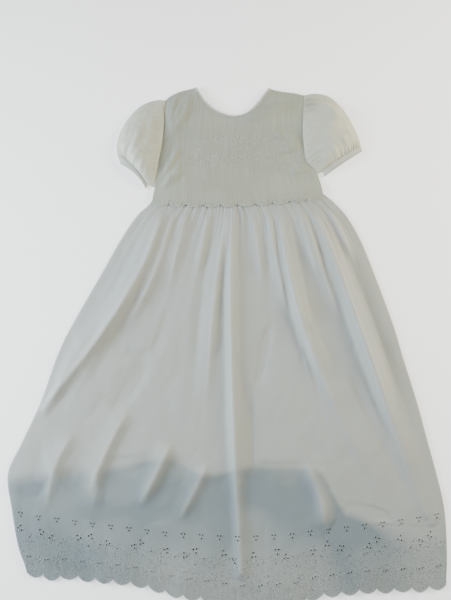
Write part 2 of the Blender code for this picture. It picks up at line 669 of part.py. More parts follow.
def button(name, y, material):
    disc = bmesh.new()
    bmesh.ops.create_cone(
        disc, cap_ends=True, segments=16,
        radius1=BUTTON_RADIUS, radius2=BUTTON_RADIUS, depth=BUTTON_THICKNESS,
    )
    mesh = bpy.data.meshes.new(name)
    disc.to_mesh(mesh)
    disc.free()
    piece = bpy.data.objects.new(name, mesh)
    piece.location = (BACK_OPENING_X, y, BUTTON_THICKNESS / 2)
    piece.data.materials.append(material)
    rim = piece.modifiers.new("Rounded rim", "BEVEL")
    rim.width = 0.0004
    rim.segments = 1
    return piece


def left_armhole(t):
    here = curve_point(LEFT_EDGE, mixed(1.0, UNDERARM, t))
    return Vector((here.x - 3 * SEAM_GAP, here.y))


def right_armhole(t):
    here = curve_point(RIGHT_EDGE, mixed(1.0, UNDERARM, t))
    return Vector((here.x + 3 * SEAM_GAP, here.y))


def build_gown():
    cotton = finish("White cotton", WHITE_COTTON, 0.85)
    border = finish("White binding", WHITE_BORDER, 0.8)
    shell = finish("Button white", BUTTON_WHITE, 0.35)
    return [
        skirt_front(cotton),
        skirt_back(cotton),
        bodice_front(cotton),
        bodice_back("bodice_back_left", True, cotton),
        bodice_back("bodice_back_right", False, cotton),
        binding("binding_front", BINDING_RADIUS, 0.0, 1.0, 0.0, front_binding_height, border),
        binding(
            "binding_back_left", BACK_BINDING_RADIUS, BACK_BINDING_INSET, BACK_BINDING_MEETING,
            BACK_NECK_DROP, back_binding_height, border,
        ),
        binding(
            "binding_back_right", BACK_BINDING_RADIUS, 1.0 - BACK_BINDING_INSET,
            BACK_BINDING_MEETING + 0.006, BACK_NECK_DROP, back_binding_height, border,
        ),
        sleeve("sleeve_left", LEFT_SLEEVE, left_armhole, cotton, True),
        sleeve("sleeve_right", RIGHT_SLEEVE, right_armhole, cotton, False),
        cuff("cuff_left", LEFT_SLEEVE[-1], LEFT_CUFF_END, border, True),
        cuff("cuff_right", RIGHT_SLEEVE[-1], RIGHT_CUFF_END, border, False),
        *[button(f"button_{place + 1}", y, shell) for place, y in enumerate(BUTTONS_Y)],
    ]


def centre_on_origin(pieces):
    """Moves the pieces so that the origin lies under the centre of their bounding box."""
    bpy.context.view_layer.update()
    graph = bpy.context.evaluated_depsgraph_get()
    corners = []
    for piece in pieces:
        seen = piece.evaluated_get(graph)
        corners += [seen.matrix_world @ Vector(corner) for corner in seen.bound_box]
    low = Vector(map(min, *corners))
    high = Vector(map(max, *corners))
    for piece in pieces:
        piece.location.x -= (low.x + high.x) / 2
        piece.location.y -= (low.y + high.y) / 2


def main():
    clear_scene()
    gown = bpy.data.collections.new("Christening gown")
    bpy.context.scene.collection.children.link(gown)
    pieces = build_gown()
    for piece in pieces:
        gown.objects.link(piece)
    centre_on_origin(pieces)


main()
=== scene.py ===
"""Looks of a white cotton christening gown that lies flat: finer cloth over the frame's solids,
with gathers, folds, wrinkles, eyelets, embroidery, bindings and buttons, and a plain pale studio.

Metres, +Z up, the hem towards -Y. The long tables are in millimetres. Places on the cloth are
measured from the middle of the waist, as in the part's source, and WAIST moves them into the frame.
"""

import math
from functools import partial

import bpy
import numpy as np
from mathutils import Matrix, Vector, noise


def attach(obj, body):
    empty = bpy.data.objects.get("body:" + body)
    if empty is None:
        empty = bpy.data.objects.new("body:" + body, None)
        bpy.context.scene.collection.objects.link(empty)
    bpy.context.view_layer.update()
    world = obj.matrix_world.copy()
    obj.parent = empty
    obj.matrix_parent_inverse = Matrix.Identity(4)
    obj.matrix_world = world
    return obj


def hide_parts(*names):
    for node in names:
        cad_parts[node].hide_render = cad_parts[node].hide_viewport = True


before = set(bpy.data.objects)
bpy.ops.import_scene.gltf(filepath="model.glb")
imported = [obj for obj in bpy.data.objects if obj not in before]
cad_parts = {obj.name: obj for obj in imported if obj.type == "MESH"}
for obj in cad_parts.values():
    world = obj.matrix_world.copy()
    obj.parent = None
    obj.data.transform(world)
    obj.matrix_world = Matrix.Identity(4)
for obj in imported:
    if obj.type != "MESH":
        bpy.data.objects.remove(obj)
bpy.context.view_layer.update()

bl_info = {
    "name": "Christening gown",
    "version": (1, 0, 0),
    "blender": (4, 5, 0),
    "location": "3D View > Sidebar > Gown",
    "description": "Makes the cloth, embroidery, trims and studio of a christening gown",
    "category": "Object",
}


def metres(rows, lengths=None):
    """A table whose first columns are lengths in millimetres, that many or all of them."""
    return tuple(
        tuple(value / 1000.0 for value in row[:lengths]) + (row[lengths:] if lengths else ())
        for row in rows
    )


WAIST = (0.0164267, 0.1900137)  # the middle of the waist, in the frame

# Cloth and seams, as in the solids
SEAM_GAP = 0.0003
EDGE_ROUND = 0.003
EDGE_START = 0.0008
BINDING_RADIUS = 0.0014

# Scalloped borders
HEM_SCALLOP_DEPTH = 0.0068
WAIST_SCALLOP_DEPTH = 0.0055
HEM_SCALLOPS = 24
WAIST_SCALLOPS = 10
SCALLOP_POINT = 0.7  # below 1, scallops are fuller and the notches between them narrower

# Skirt
GATHERS = 24
GATHER_LIFT = 0.0012
GATHER_FADE = 0.060
FINE_GATHERS = 61.0
FINE_LIFT = 0.00055
FINE_FADE = 0.040
LOW_FACE = 0.0029
SIDE_FACE = 0.0032
SIDE_SLOPE = 0.045
GATHER_SLOPE = 0.018
FOLD_SLOPE = 0.020
FOLD_START, FOLD_RUN = 0.003, 0.030
UNEVEN_GATHERS = ((0.010, 6.3, 0.6), (0.004, 31.0, 0.0))
HEM_RIPPLE = 0.0009
HEM_RIPPLES = 5.0
HEM_WAVE_FROM = 0.75  # share of the skirt's length
SCALLOPS_FROM = 0.97
SIDE_WIDTH = 0.40  # a middling width of the skirt, for the columns close to its sides
SKIRT_GRID = (288, 160)  # columns and rows
BORDER_GRID = (HEM_SCALLOPS * 20, 80)

SKIRT_COLUMNS = ("left_x", "left_y", "right_x", "right_y", "middle_y", "crown")
SKIRT_SECTIONS = metres((
    (-124.5, 6, 127.5, 15.5, 3, 5.7),
    (-132, -4, 142, 3, -11, 5.8),
    (-148, -20, 161.5, -20, -30, 5.8),
    (-171, -57, 181, -57, -68, 6),
    (-198.5, -110, 200, -110, -124, 6),
    (-236, -181, 223, -181, -198, 5.6),
    (-255, -224, 234, -224, -243, 5.2),
    (-276.5, -292, 252, -292, -314, 5),
    (-301, -350, 265, -350, -375, 5.2),
    (-317, -390, 274, -390, -418, 4.2),
    (-309, -438, 282.5, -438, -470, 3.6),
    (-298, -486, 282.5, -492, -520, 3.5),
    (-285.5, -516, 279.5, -527, -552, 3.4),
))
HEM_WAVE = (
    (0.0, 0.001), (0.05, 0.0012), (0.12, 0.009), (0.25, 0.0128), (0.40, 0.002), (0.54, -0.006),
    (0.64, -0.003), (0.71, 0.005), (0.80, 0.0055), (0.885, 0.001), (0.94, -0.0035), (1.0, -0.005),
)

# Folds run through three points; then come height, width of the left and right slopes, and the
# strength at the start and at the end.
SKIRT_FOLDS = metres((
    (-111, -12, -156, -140, -272, -299, 6.8, 10, 24, 0.5, 0.7),
    (-95, -16, -118, -107, -165, -195, 4, 9, 13, 0.4, 0),
    (-70, -10, -84, -62, -98, -125, 3.4, 8, 12, 0.4, 0),
    (-123, -220, -150, -262, -184, -310, -2.4, 11, 11, 0, 0),
    (-42, -10, -50, -62, -58, -118, 2.6, 8, 8, 0.5, 0),
    (-16, -30, -32, -140, -46, -325, 3.8, 9, 12, 0.4, 0),
    (-7, -12, -8, -230, 4, -520, 5.6, 11, 9, 0.5, 0.4),
    (28, -370, 29, -455, 26, -540, -1.8, 9, 9, 0, 0.8),
    (22, -8, 30, -70, 36, -130, 2.6, 8, 8, 0.5, 0),
    (40, -180, 36, -225, 28, -280, -2.2, 10, 10, 0, 0),
    (45, -8, 58, -98, 73, -172, 3.6, 9, 10, 0.5, 0),
    (63, -8, 88, -166, 148, -325, 6.2, 18, 9, 0.5, 0),
    (78, -176, 103, -228, 134, -305, -2.2, 9, 9, 0, 0),
    (85, -4, 102, -60, 117, -125, 3.4, 9, 9, 0.5, 0),
    (100, -20, 122, -102, 150, -182, 3.4, 11, 10, 0.2, 0),
    (110, -4, 162, -156, 246, -428, 6.4, 15, 12, 0.5, 0),
    (130, -2, 150, -45, 168, -88, 3.4, 10, 9, 0.4, 0),
    (-150, -300, -180, -358, -212, -440, 3.6, 12, 16, 0, 0),
    (-92, -345, -112, -392, -140, -442, 4.4, 11, 16, 0, 0),
    (-40, -372, -62, -418, -85, -458, 3, 10, 13, 0, 0),
    (90, -372, 112, -420, 118, -475, 3.6, 16, 12, 0, 0),
    (-225, -330, -252, -385, -262, -450, 3, 12, 14, 0, 0),
), 9)
SKIRT_RIDGES = [row for row in SKIRT_FOLDS if row[6] > 0]
FOLD_STEPS = 10
FOLD_REACH = 3.2  # widths from its line within which a fold is felt
FOLD_FADE_IN, FOLD_FADE_OUT = 0.25, 0.35  # shares of its length
CREST_LAYERS = ((0.42, 1.0), (0.20, 0.38))  # share of a fold's height and of its width
CREST_HIGHLIGHT_WIDTH, CREST_HIGHLIGHT_LIFT = 0.30, 0.0022  # share of a fold's width under its painted highlight, and the fold height where that is full
BASE_PAINTED_SHADE = 0.2  # painted shade of plain cloth, so that the crests of its folds can get a lighter painted highlight
CREASE = metres((
    (-330, -386), (-185, -372), (-97, -364), (-41, -386), (20, -375), (106, -377), (150, -436),
    (215, -459), (300, -461),
))
CRISP_ROUND = 0.0009
CREASE_STEP = 0.0016
CREASE_WIDTH = 0.022
CREASE_REACH, CREASE_END = 0.03, 0.09

# Crumpled cloth: facets with creases of that share of their width between them, and layers of
# waves, each with its height, its stretch across and along, its size and its seed
FACET_LIFT, FACET_SIZE, FACET_CREASE = 0.00055, 0.045, 0.35
SKIRT_WAVES = ((0.00080, 1.0, 0.6, 0.030, 1.7), (0.00026, 1.0, 1.0, 0.011, 4.2))
BODICE_WAVES = (
    (0.00030, 1.0, 0.5, 0.016, 7.3), (0.00030, 1.0, 0.06, 0.0030, 9.1),
    (0.00022, 1.0, 0.12, 0.0055, 3.3),
)
SLEEVE_WAVES = ((0.0022, 0.8, 1.0, 0.026, 5.0), (0.0011, 1.0, 1.0, 0.010, 8.0))

# Painted shade below the crease, deeper in some places and lighter in others: middle x and y,
# reach, amount
PAINTED_SHADE_SPOTS = metres((
    (150, -466, 46, 12, 0.75), (45, -430, 50, 30, 0.2), (-80, -420, 20, 30, 0.3),
    (-180, -440, 40, 12, 0.3), (-285, -410, 22, 10, 0.35), (-230, -505, 70, 30, 0.25),
    (-60, -480, 50, 20, 0.2), (-200, -404, 12, 22, -0.5), (-148, -385, 20, 13, -0.45),
    (-72, -378, 14, 16, -0.35), (20, -445, 40, 18, -0.2), (120, -430, 14, 40, -0.4),
), 4)

# Short wrinkles that only the finer cloth has, in the same columns as the folds
SKIRT_WRINKLES = metres((
    (-147, -146, -125, -152, -100, -154, -1.6, 6, 14, 0, 0),
    (-160, -213, -140, -224, -122, -214, -1.8, 6, 14, 0, 0),
    (-122, -230, -148, -272, -180, -306, -2.2, 14, 7, 0, 0),
    (-100, -150, -108, -190, -124, -232, -1.4, 12, 7, 0, 0.3),
    (-66, -104, -44, -112, -20, -100, 1, 6, 9, 0, 0),
    (-33, -40, -52, -146, -64, -330, -1.8, 7, 12, 0, 0),
    (-16, -78, 8, -86, 34, -72, 1.2, 6, 8, 0, 0),
    (47, -172, 35, -233, 24, -278, -2.2, 9, 6, 0, 0),
    (80, -172, 96, -186, 112, -206, -1.8, 7, 10, 0, 0),
    (88, -172, 104, -240, 122, -308, -2.2, 14, 6, 0, 0),
    (110, -210, 124, -228, 138, -252, 1, 7, 8, 0, 0),
    (18, -262, 20, -344, 22, -440, -2.2, 6, 11, 0, 0.6),
    (48, -120, 66, -128, 86, -118, -0.9, 6, 9, 0, 0),
    (116, -66, 134, -80, 156, -74, -0.9, 6, 9, 0, 0),
    (145, -218, 190, -330, 236, -426, -1.6, 12, 7, 0, 0),
    (-190, -180, -226, -250, -262, -320, -1.4, 12, 12, 0, 0),
    (-220, -96, -252, -190, -288, -330, 1.2, 10, 12, 0, 0),
    (-296, -394, -276, -410, -248, -390, -2, 7, 12, 0, 0),
    (3, -398, 28, -396, 56, -394, -1, 6, 10, 0, 0),
    (20, -377, 60, -379, 106, -377, -1.4, 5, 14, 0.6, 0.6),
    (108, -376, 98, -352, 76, -342, -1.4, 6, 12, 0.2, 0),
    (-100, -366, -70, -380, -41, -388, -1.3, 6, 14, 0.4, 0.4),
    (-186, -372, -140, -370, -100, -366, -1.2, 6, 14, 0.4, 0.4),
    (-262, -352, -250, -390, -222, -420, 1.6, 12, 10, 0, 0),
    (-200, -380, -192, -410, -204, -450, 1.8, 10, 8, 0, 0),
    (118, -490, 134, -462, 154, -438, -2.4, 8, 16, 0, 0.5),
    (150, -436, 178, -438, 210, -452, -2.2, 7, 14, 0.5, 0.2),
    (186, -458, 226, -463, 286, -462, -1.8, 4, 12, 0.2, 0.6),
    (-150, -434, -120, -444, -80, -436, -1.6, 8, 14, 0, 0),
    (118, -40, 172, -190, 254, -440, 3.4, 24, 12, 0.2, 0.7),
    (70, -70, 100, -220, 150, -372, 2.6, 16, 10, 0.2, 0),
    (-140, -80, -180, -190, -246, -300, 2, 10, 18, 0, 0),
    (150, -60, 196, -180, 236, -330, -1.6, 14, 10, 0, 0),
    (120, -250, 150, -330, 196, -420, 2.2, 18, 9, 0, 0),
    (176, -240, 206, -320, 238, -400, -1.4, 10, 8, 0, 0),
), 9)

# Bodice
BODICE_WIDTH, BODICE_LENGTH = 0.225, 0.165
WAIST_WIDTH = 0.25
BODICE_GRID = (WAIST_SCALLOPS * 22, 168)
BODICE_FACE = 0.0035
NECK_LEFT, NECK_RIGHT = 0.2, 0.75
LEFT_EDGE = metres((
    (-125, 1), (-121.5, 25), (-116.5, 60), (-111, 95), (-108.5, 128), (-108.5, 162.5),
))
RIGHT_EDGE = metres((
    (127.5, 10.5), (119.5, 46), (103, 66), (98.5, 100), (99, 135), (103.5, 171.5),
))
UNDERARM = 0.2
LEFT_SHOULDER = ((-0.1085, 0.1625), (-0.099, 0.1715), (-0.083, 0.179))
RIGHT_SHOULDER = ((0.067, 0.1785), (0.088, 0.1755), (0.1035, 0.1715))
WAIST_DIP = 0.0075
WAIST_OVERLAP = 0.005
NECK = metres((
    (-61.5, 185), (-52, 169), (-40, 154), (-22, 142), (-3, 137.5), (15, 142), (29, 156), (40, 171),
    (49, 184),
))
NECK_TURN = 0.014
SHOULDER_SLOPE = 0.022
CHEST_HEIGHT = 0.0064
CHEST_SLOPE = 0.080
WAIST_HEIGHT = 0.0088
WAIST_SIDE_HEIGHT = 0.0058
ARMHOLE_HEIGHT = 0.0050
WAIST_RISE = 0.036  # longer than that of the solid, so that no step shows
WAIST_DROOP, WAIST_DROOP_REACH = 0.0006, 0.006  # the border's edge settles on the gathers
TUCKED_LIFT, TUCKED_REACH = 0.0009, 0.014  # the gathers rise to the underside of the border
TUCKED_FLATTER = 0.62
WAIST_CLEAR = 0.002
BORDER_SLOPE = 0.030
BODICE_FOLDS = metres((
    (-90, 174, -99, 144, -111, 96, 3.4, 6, 9, 0.7, 0),
    (-71, 166, -83, 132, -106, 100, 3, 6, 9, 0.5, 0),
    (-78, 56, -98, 34, -120, 14, 2.6, 7, 7, 0, 0.3),
    (-84, 86, -98, 62, -112, 40, 1.8, 6, 8, 0, 0),
    (4, 130, 48, 143, 84, 155, 3.2, 10, 8, 0, 0.4),
    (52, 110, 74, 100, 94, 94, 2, 7, 7, 0, 0.6),
    (60, 78, 80, 84, 96, 90, 1.8, 6, 6, 0, 0.6),
    (78, 44, 96, 50, 114, 56, 2, 6, 6, 0, 0.4),
), 9)
BODICE_WRINKLES = metres((
    (-84, 160, -93, 130, -104, 112, 2, 5, 6, 0.5, 0.2),
    (-70, 169, -82, 155, -98, 125, 2.2, 5, 6, 0.5, 0.2),
    (-100, 166, -104, 150, -108, 132, 1.4, 4, 4, 0.4, 0.1),
    (-60, 172, -61, 160, -66, 148, 1.2, 4, 4, 0.4, 0),
    (-84, 96, -96, 66, -109, 43, 2, 6, 6, 0.1, 0.3),
    (-80, 70, -94, 46, -110, 26, 1.8, 5, 6, 0.1, 0.3),
    (-96, 42, -102, 34, -110, 26, 1.2, 4, 5, 0.1, 0.3),
    (-79, 94, -78, 47, -78, 2, 0.8, 9, 3, 0.2, 0.4),
    (-18, 133, 24, 133.5, 73, 146.5, 2.4, 4, 9, 0.3, 0.2),
    (53, 163, 74, 168, 96, 167, 1.8, 6, 6, 0.1, 0.5),
    (68, 152, 82, 154, 96, 154, 1.6, 4, 5, 0.1, 0.6),
    (56, 122, 76, 118, 94, 119, -1.4, 4, 6, 0, 0.6),
    (70, 114, 81, 106, 92, 100, 1.6, 5, 5, 0.1, 0.5),
    (64, 88, 77, 90, 94, 91, 1.6, 4, 5, 0.1, 0.5),
    (90, 77, 92, 68, 94, 59, 1.2, 4, 4, 0.2, 0.2),
    (44, 49, 68, 60, 91, 63, 1.6, 8, 8, 0, 0.5),
    (60, 72, 80, 76, 94, 82, -1.3, 4, 5, 0, 0.5),
    (75, 47, 96, 52, 116, 57, 1.6, 5, 6, 0.1, 0.5),
    (70, 30, 94, 32, 114, 40, -1.3, 4, 6, 0, 0.5),
), 9)

# Painted shade and painted light on the bodice: middle, reach and amount
BODICE_PAINTED_LIGHT_AND_SHADE = metres((
    (18, 75, 30, 30, 0.12), (60, 30, 22, 22, -0.16), (88, 70, 12, 40, -0.1),
    (-105, 40, 14, 40, -0.14), (-75, 115, 8, 22, 0.18), (-30, 128, 50, 10, -0.12),
    (50, 136, 30, 12, -0.12), (85, 150, 12, 12, 0.18), (-30, 30, 40, 14, 0.1),
    (-12, 100, 12, 16, -0.08),
), 4)

# Sleeves, from armhole to cuff: outer end, inner end, height of the puff, bow of the line
LEFT_SLEEVE = metres((
    (-109, 163, -122.2, 24.5, 4.8, 0),
    (-124, 165, -123.8, 24.8, 12, 0),
    (-147.5, 152, -125.5, 25.4, 18, 0),
    (-166, 130, -127.2, 26.1, 20.5, 1),
    (-177, 106, -128.9, 26.8, 18.5, 2),
    (-180, 86, -130.6, 27.6, 13.5, 3),
    (-178.5, 75.5, -132.3, 29, 10, 4),
))
RIGHT_SLEEVE = metres((
    (104, 172, 120, 46.5, 4.8, 0),
    (120.5, 176, 121.2, 46.6, 12, 0),
    (142, 168, 122.5, 46.8, 18, 0),
    (161, 149, 123.8, 47.2, 20.5, 1),
    (175, 123, 125, 48, 18.5, 1),
    (183.5, 101, 126.2, 49, 13.5, 1),
    (185.5, 90, 127.5, 49.2, 10, 1),
))
LEFT_CUFF_END = (-0.1740, 0.0625, -0.1345, 0.0220, 0.0100, 0.005)
RIGHT_CUFF_END = (0.1877, 0.0825, 0.1295, 0.0415, 0.0100, 0.001)
CUFF_WIDTH = 0.009
TUBE_END = 0.0020
HEAD_GATHERS, FOOT_GATHERS = 0.42, 0.30  # shares of the sleeve's length
SLEEVE_GATHER_LIFT = 0.0008
PUCKER_LIFT, CUFF_CROWN = 0.00012, 0.0005

# Painted shade of close tucks in the head of each sleeve: middle, reach and depth of tone
LEFT_TUCK_SHADE = (-0.128, 0.150, 0.008, 0.25)
RIGHT_TUCK_SHADE = (0.108, 0.156, 0.013, 1.0)

# Soft wrinkles and gathers of the sleeves, in the same columns as the folds
SLEEVE_WRINKLES = metres((
    (-120, 94.6, -127, 69.4, -133.9, 44.4, 2.2, 5, 5, 0.3, 0.3),
    (-125, 135.7, -129, 105.7, -133, 70, 2, 4, 6, 0.5, 0.3),
    (-139.4, 118.4, -148.8, 94.6, -155, 69.4, 2, 5, 6, 0.3, 0.4),
    (-162.4, 129.6, -167.7, 102.5, -170, 78.8, 1.6, 5, 6, 0.2, 0.4),
    (-130, 160, -140, 142, -144, 124, -1.8, 4, 6, 0.5, 0.2),
    (-170, 74, -164, 85, -156, 96, 1.8, 4, 4, 0.6, 0.1),
    (-156, 58, -149, 69, -142, 80, 1.8, 4, 4, 0.6, 0.1),
    (-144, 45, -140, 56, -135, 66, 1.6, 3, 4, 0.6, 0.1),
    (109, 102.5, 121.7, 107.3, 136.7, 113.6, 2, 5, 6, 0.3, 0.2),
    (115, 78.8, 125, 83.1, 143, 91.4, 2, 5, 6, 0.4, 0.2),
    (108.7, 129.6, 120.3, 139.2, 135.4, 142.4, -1.8, 5, 6, 0.4, 0.2),
    (111.9, 61.3, 129.7, 68, 149.5, 78.8, 2, 4, 6, 0.3, 0.3),
    (121.8, 158.5, 139.4, 145.6, 156.7, 123.2, 2, 6, 6, 0.3, 0.2),
    (132.6, 113.6, 143.3, 123.2, 149.7, 137.6, 1.6, 5, 6, 0.2, 0.2),
    (166, 80, 160, 93, 155, 104, 1.8, 4, 4, 0.6, 0.1),
    (148, 66, 144, 78, 140, 88, 1.8, 4, 4, 0.6, 0.1),
    (176, 96, 170, 106, 163, 116, 1.6, 3, 4, 0.6, 0.1),
), 9)

# Buttons under the back opening
BACK_OPENING_X = 0.002
BUTTONS_Y = (0.024, 0.070, 0.116)
BUTTON_RADIUS = 0.0045
BUTTON_THICKNESS = 0.0017
BUTTON_PROFILE = (  # reach and height, from the lower face over the rim to the upper one
    (0.86, 0.0), (0.97, 0.10), (1.0, 0.35), (1.0, 0.65), (0.95, 0.92), (0.82, 1.0),
    (0.70, 0.86), (0.62, 0.80),
)

# The hem's embroidered border. Distances up are measured from its even lower line.
BORDER_FROM = 0.80  # share of the skirt's length where the border's cloth begins
HEM_WIDTH = 0.575
HEM_LENGTH = 0.48
HEM_COVER = 0.0012  # how far the front's edge hangs past the back's
SPRIGS_UP = 0.0775
FLOWERS_UP = 0.0600
PAIRS_UP = 0.0280
SPRIG_TURNS = (0.5, 2.6, 4.7)
FAN_HALF, FAN_RISE = 0.0108, 0.0050  # half width of a fan's field, and curve of its lower edge
FAN_DOT = 0.775  # like the corded rims, as a share of the eyelets' radius
HEM_RIM, BODICE_RIM = 1.28, 1.6
HEM_STITCH, WAIST_STITCH = 0.00062, 0.00060  # half thickness of the stitched edges

# Satin stitches: half their length, half their width, and height
SPRIG_LEAF = (0.0013, 0.0006, 0.0003)
FLOWER_PETAL = (0.0016, 0.0008, 0.0004)
SMALL_PETAL = (0.0014, 0.0007, 0.0004)
FAN_RAY = (0.0013, 0.0005, 0.0004)
FAN_SIDE = (0.0021, 0.0007, 0.0004)
BODICE_PETAL = (0.0024, 0.0013, 0.0007)
RING_STITCH = (0.0011, 0.0005, 0.0005)
STEM_STITCH = (0.0014, 0.0004, 0.0005)
STEM_LEAF = (0.0017, 0.0008, 0.0006)
WAIST_RAY = (0.0015, 0.0006, 0.0004)

# Ring flowers on the bodice, each as its place and count of petals, and the single eyelets
BODICE_FLOWERS = metres((
    (-55, 72, 5), (-25.5, 73, 6), (2, 70, 6), (30.5, 73, 6), (58, 72.5, 6), (-27, 101, 6),
    (2, 98.5, 5), (31, 98.5, 5), (58.5, 100.5, 6),
), 2)
BODICE_EYELETS = metres((
    (-47, 63), (-41, 61), (-52, 60), (-69, 68), (-75.5, 62), (-64, 59), (-14, 60), (-9, 62),
    (14, 57), (18, 60), (44, 61), (48, 58), (42, 53), (66, 62), (70, 69), (-40, 87), (-45, 92),
    (-13, 87), (16, 85), (45, 87), (70, 88), (-61, 86), (-68, 81), (72, 96),
))

# Stems between the flowers: start x, y, how far they curl, end x, y
BODICE_STEMS = (
    (-0.0760, 0.0560, 0.20, -0.0620, 0.0700), (-0.0475, 0.0740, 0.22, -0.0335, 0.0740),
    (-0.0180, 0.0720, -0.22, -0.0060, 0.0700), (0.0100, 0.0700, 0.22, 0.0225, 0.0730),
    (0.0385, 0.0730, -0.22, 0.0500, 0.0725), (0.0655, 0.0690, 0.20, 0.0780, 0.0600),
    (-0.0640, 0.0930, 0.20, -0.0350, 0.1000), (-0.0190, 0.1010, -0.20, -0.0060, 0.0990),
    (0.0100, 0.0985, 0.20, 0.0230, 0.0985), (0.0390, 0.0985, -0.20, 0.0505, 0.1005),
    (0.0665, 0.1005, 0.20, 0.0760, 0.0900), (-0.0560, 0.0800, 0.15, -0.0330, 0.0960),
    (-0.0220, 0.0800, -0.15, -0.0010, 0.0920), (0.0040, 0.0780, 0.15, 0.0260, 0.0920),
    (0.0330, 0.0800, -0.15, 0.0560, 0.0930), (0.0640, 0.0560, 0.15, 0.0400, 0.0560),
    (-0.0620, 0.0540, 0.15, -0.0300, 0.0580), (-0.0180, 0.0560, 0.15, 0.0060, 0.0560),
)

STEM_STITCHES = 14
LOWEST_HOLE, LOWEST_LEAF = 0.012, 0.004  # shares of the bodice's length
CORD_ENDS = (0.35, 0.8, 1.0)  # a cord narrows to its closed ends

# Materials. Netting: from and to, size of its cells, height of its cords, tone of the painted shade
# in its gaps
HEM_NETTING = (-0.012, 0.064, 0.0030, 0.00024, 0.55)
WAIST_NETTING = (-0.012, 0.015, 0.0026, 0.00022, 0.65)
CRINKLES = (0.0024, 0.00020)  # distance and height
THREAD_HEIGHT = 0.00009
DARKER = 0.90

# Studio
FLOOR_HALF, FLOOR_LEVEL = 25.0, -0.0004


# Numbers and curves, for whole arrays at once


def eased(share):
    share = np.clip(share, 0.0, 1.0)
    return share * share * (3.0 - 2.0 * share)


def mixed(first, second, share):
    return first + (second - first) * share


def turns(count, start=0.0):
    """Angles of an even ring."""
    return [start + 2.0 * math.pi * step / count for step in range(count)]


def spline(values, share):
    """Smooth curve through evenly spaced values, at every share."""
    values = np.asarray(values, float)
    last = len(values) - 1
    place = np.clip(np.asarray(share, float), 0.0, 1.0) * last
    here = np.minimum(place.astype(int), last - 1)
    t = place - here
    if values.ndim > 1:
        t = t[..., None]
    a = values[np.maximum(here - 1, 0)]
    b = values[here]
    c = values[here + 1]
    d = values[np.minimum(here + 2, last)]
    return (
        b + (c - a) * (0.5 * t)
        + (2.0 * a - 5.0 * b + 4.0 * c - d) * (0.5 * t * t)
        + (3.0 * b - a - 3.0 * c + d) * (0.5 * t * t * t)
    )


def stepped(table, x):
    """Height of a curve through a table of x and value rows, eased between the rows."""
    xs, ys = np.array(table).T
    x = np.clip(x, xs[0], xs[-1])
    here = np.clip(np.searchsorted(xs, x) - 1, 0, len(xs) - 2)
    return mixed(ys[here], ys[here + 1], eased((x - xs[here]) / (xs[here + 1] - xs[here])))


def scallop(share, count):
    return np.abs(np.sin(math.pi * share * count)) ** SCALLOP_POINT


def fold_lift(x, y, folds, taller=1.0, wider=1.0, crisp=False):
    """Height that the folds add at each place, from the nearest point of each: round ones, or crisp
    ones with flat sides."""
    lift = np.zeros_like(x)
    for x1, y1, x2, y2, x3, y3, height, left, right, start, end in folds:
        reach = FOLD_REACH * wider * max(left, right)
        near = (x > min(x1, x2, x3) - reach) & (x < max(x1, x2, x3) + reach)
        near &= (y > min(y1, y2, y3) - reach) & (y < max(y1, y2, y3) + reach)
        px, py = x[near], y[near]
        mx, my = 2.0 * x2 - (x1 + x3) / 2.0, 2.0 * y2 - (y1 + y3) / 2.0
        best, along, side = np.ones_like(px), np.zeros_like(px), np.ones_like(px)
        bx, by = x1, y1
        for step in range(1, FOLD_STEPS + 1):
            t = step / FOLD_STEPS
            ax = x1 * (1 - t) ** 2 + mx * 2 * t * (1 - t) + x3 * t * t
            ay = y1 * (1 - t) ** 2 + my * 2 * t * (1 - t) + y3 * t * t
            rx, ry = ax - bx, ay - by
            part = np.clip(((px - bx) * rx + (py - by) * ry) / (rx * rx + ry * ry), 0.0, 1.0)
            ox, oy = px - bx - rx * part, py - by - ry * part
            far = np.hypot(ox, oy)
            closer = far < best
            best = np.where(closer, far, best)
            along = np.where(closer, (step - 1 + part) / FOLD_STEPS, along)
            side = np.where(closer, rx * oy - ry * ox, side)
            bx, by = ax, ay
        width = np.where(side > 0, left, right) * wider
        strength = np.minimum(
            mixed(start, 1.0, eased(along / FOLD_FADE_IN)),
            mixed(end, 1.0, eased((1.0 - along) / FOLD_FADE_OUT)),
        )
        if crisp:
            rounded = np.sqrt(best**2 + CRISP_ROUND**2) - CRISP_ROUND
            profile = np.clip(1.0 - rounded / width, 0.0, 1.0)
        else:
            profile = np.exp(-((best / width) ** 2))
        lift[near] += taller * height * strength * profile
    return lift


def at_each(x, y, size, value):
    """A value worked out at each place in turn, with that size as the unit."""
    places = zip(x.ravel().tolist(), y.ravel().tolist())
    return np.array([value(a / size, b / size) for a, b in places]).reshape(x.shape)


def rumple(x, y, size, seed):
    """Smooth uneven waves of about that size, from -1 to 1."""
    return at_each(x, y, size, lambda a, b: noise.noise(Vector((a, b, seed))))


def rumpled(x, y, layers):
    """Height of layers of such waves."""
    total = np.zeros_like(x)
    for height, across, along, size, seed in layers:
        total += height * rumple(x * across, y * along, size, seed)
    return total


def crumple(x, y, size, seed):
    """Flat facets with soft creases between them, from 0 in the creases to 1."""

    def facet(a, b):
        nearest, second = noise.voronoi(Vector((a, b, seed)))[0][:2]
        return min(second - nearest, FACET_CREASE) / FACET_CREASE

    return at_each(x, y, size, facet)


def spots(x, y, table):
    """Sum of soft round spots at each place."""
    total = np.zeros_like(x)
    for spot_x, spot_y, wide, high, amount in table:
        total += amount * np.exp(-(((x - spot_x) / wide) ** 2) - ((y - spot_y) / high) ** 2)
    return total


def edge_fold(distance):
    """Rise of a rounded edge, from 0 at the edge to 1."""
    share = np.clip(distance / EDGE_ROUND, 0.0, 1.0)
    return np.sqrt(1.0 - (1.0 - share) ** 2)


# The skirt's cloth: u from left to right and v from waist to hem


def towards_hem(v, start):
    return eased((v - start) / (1.0 - start))


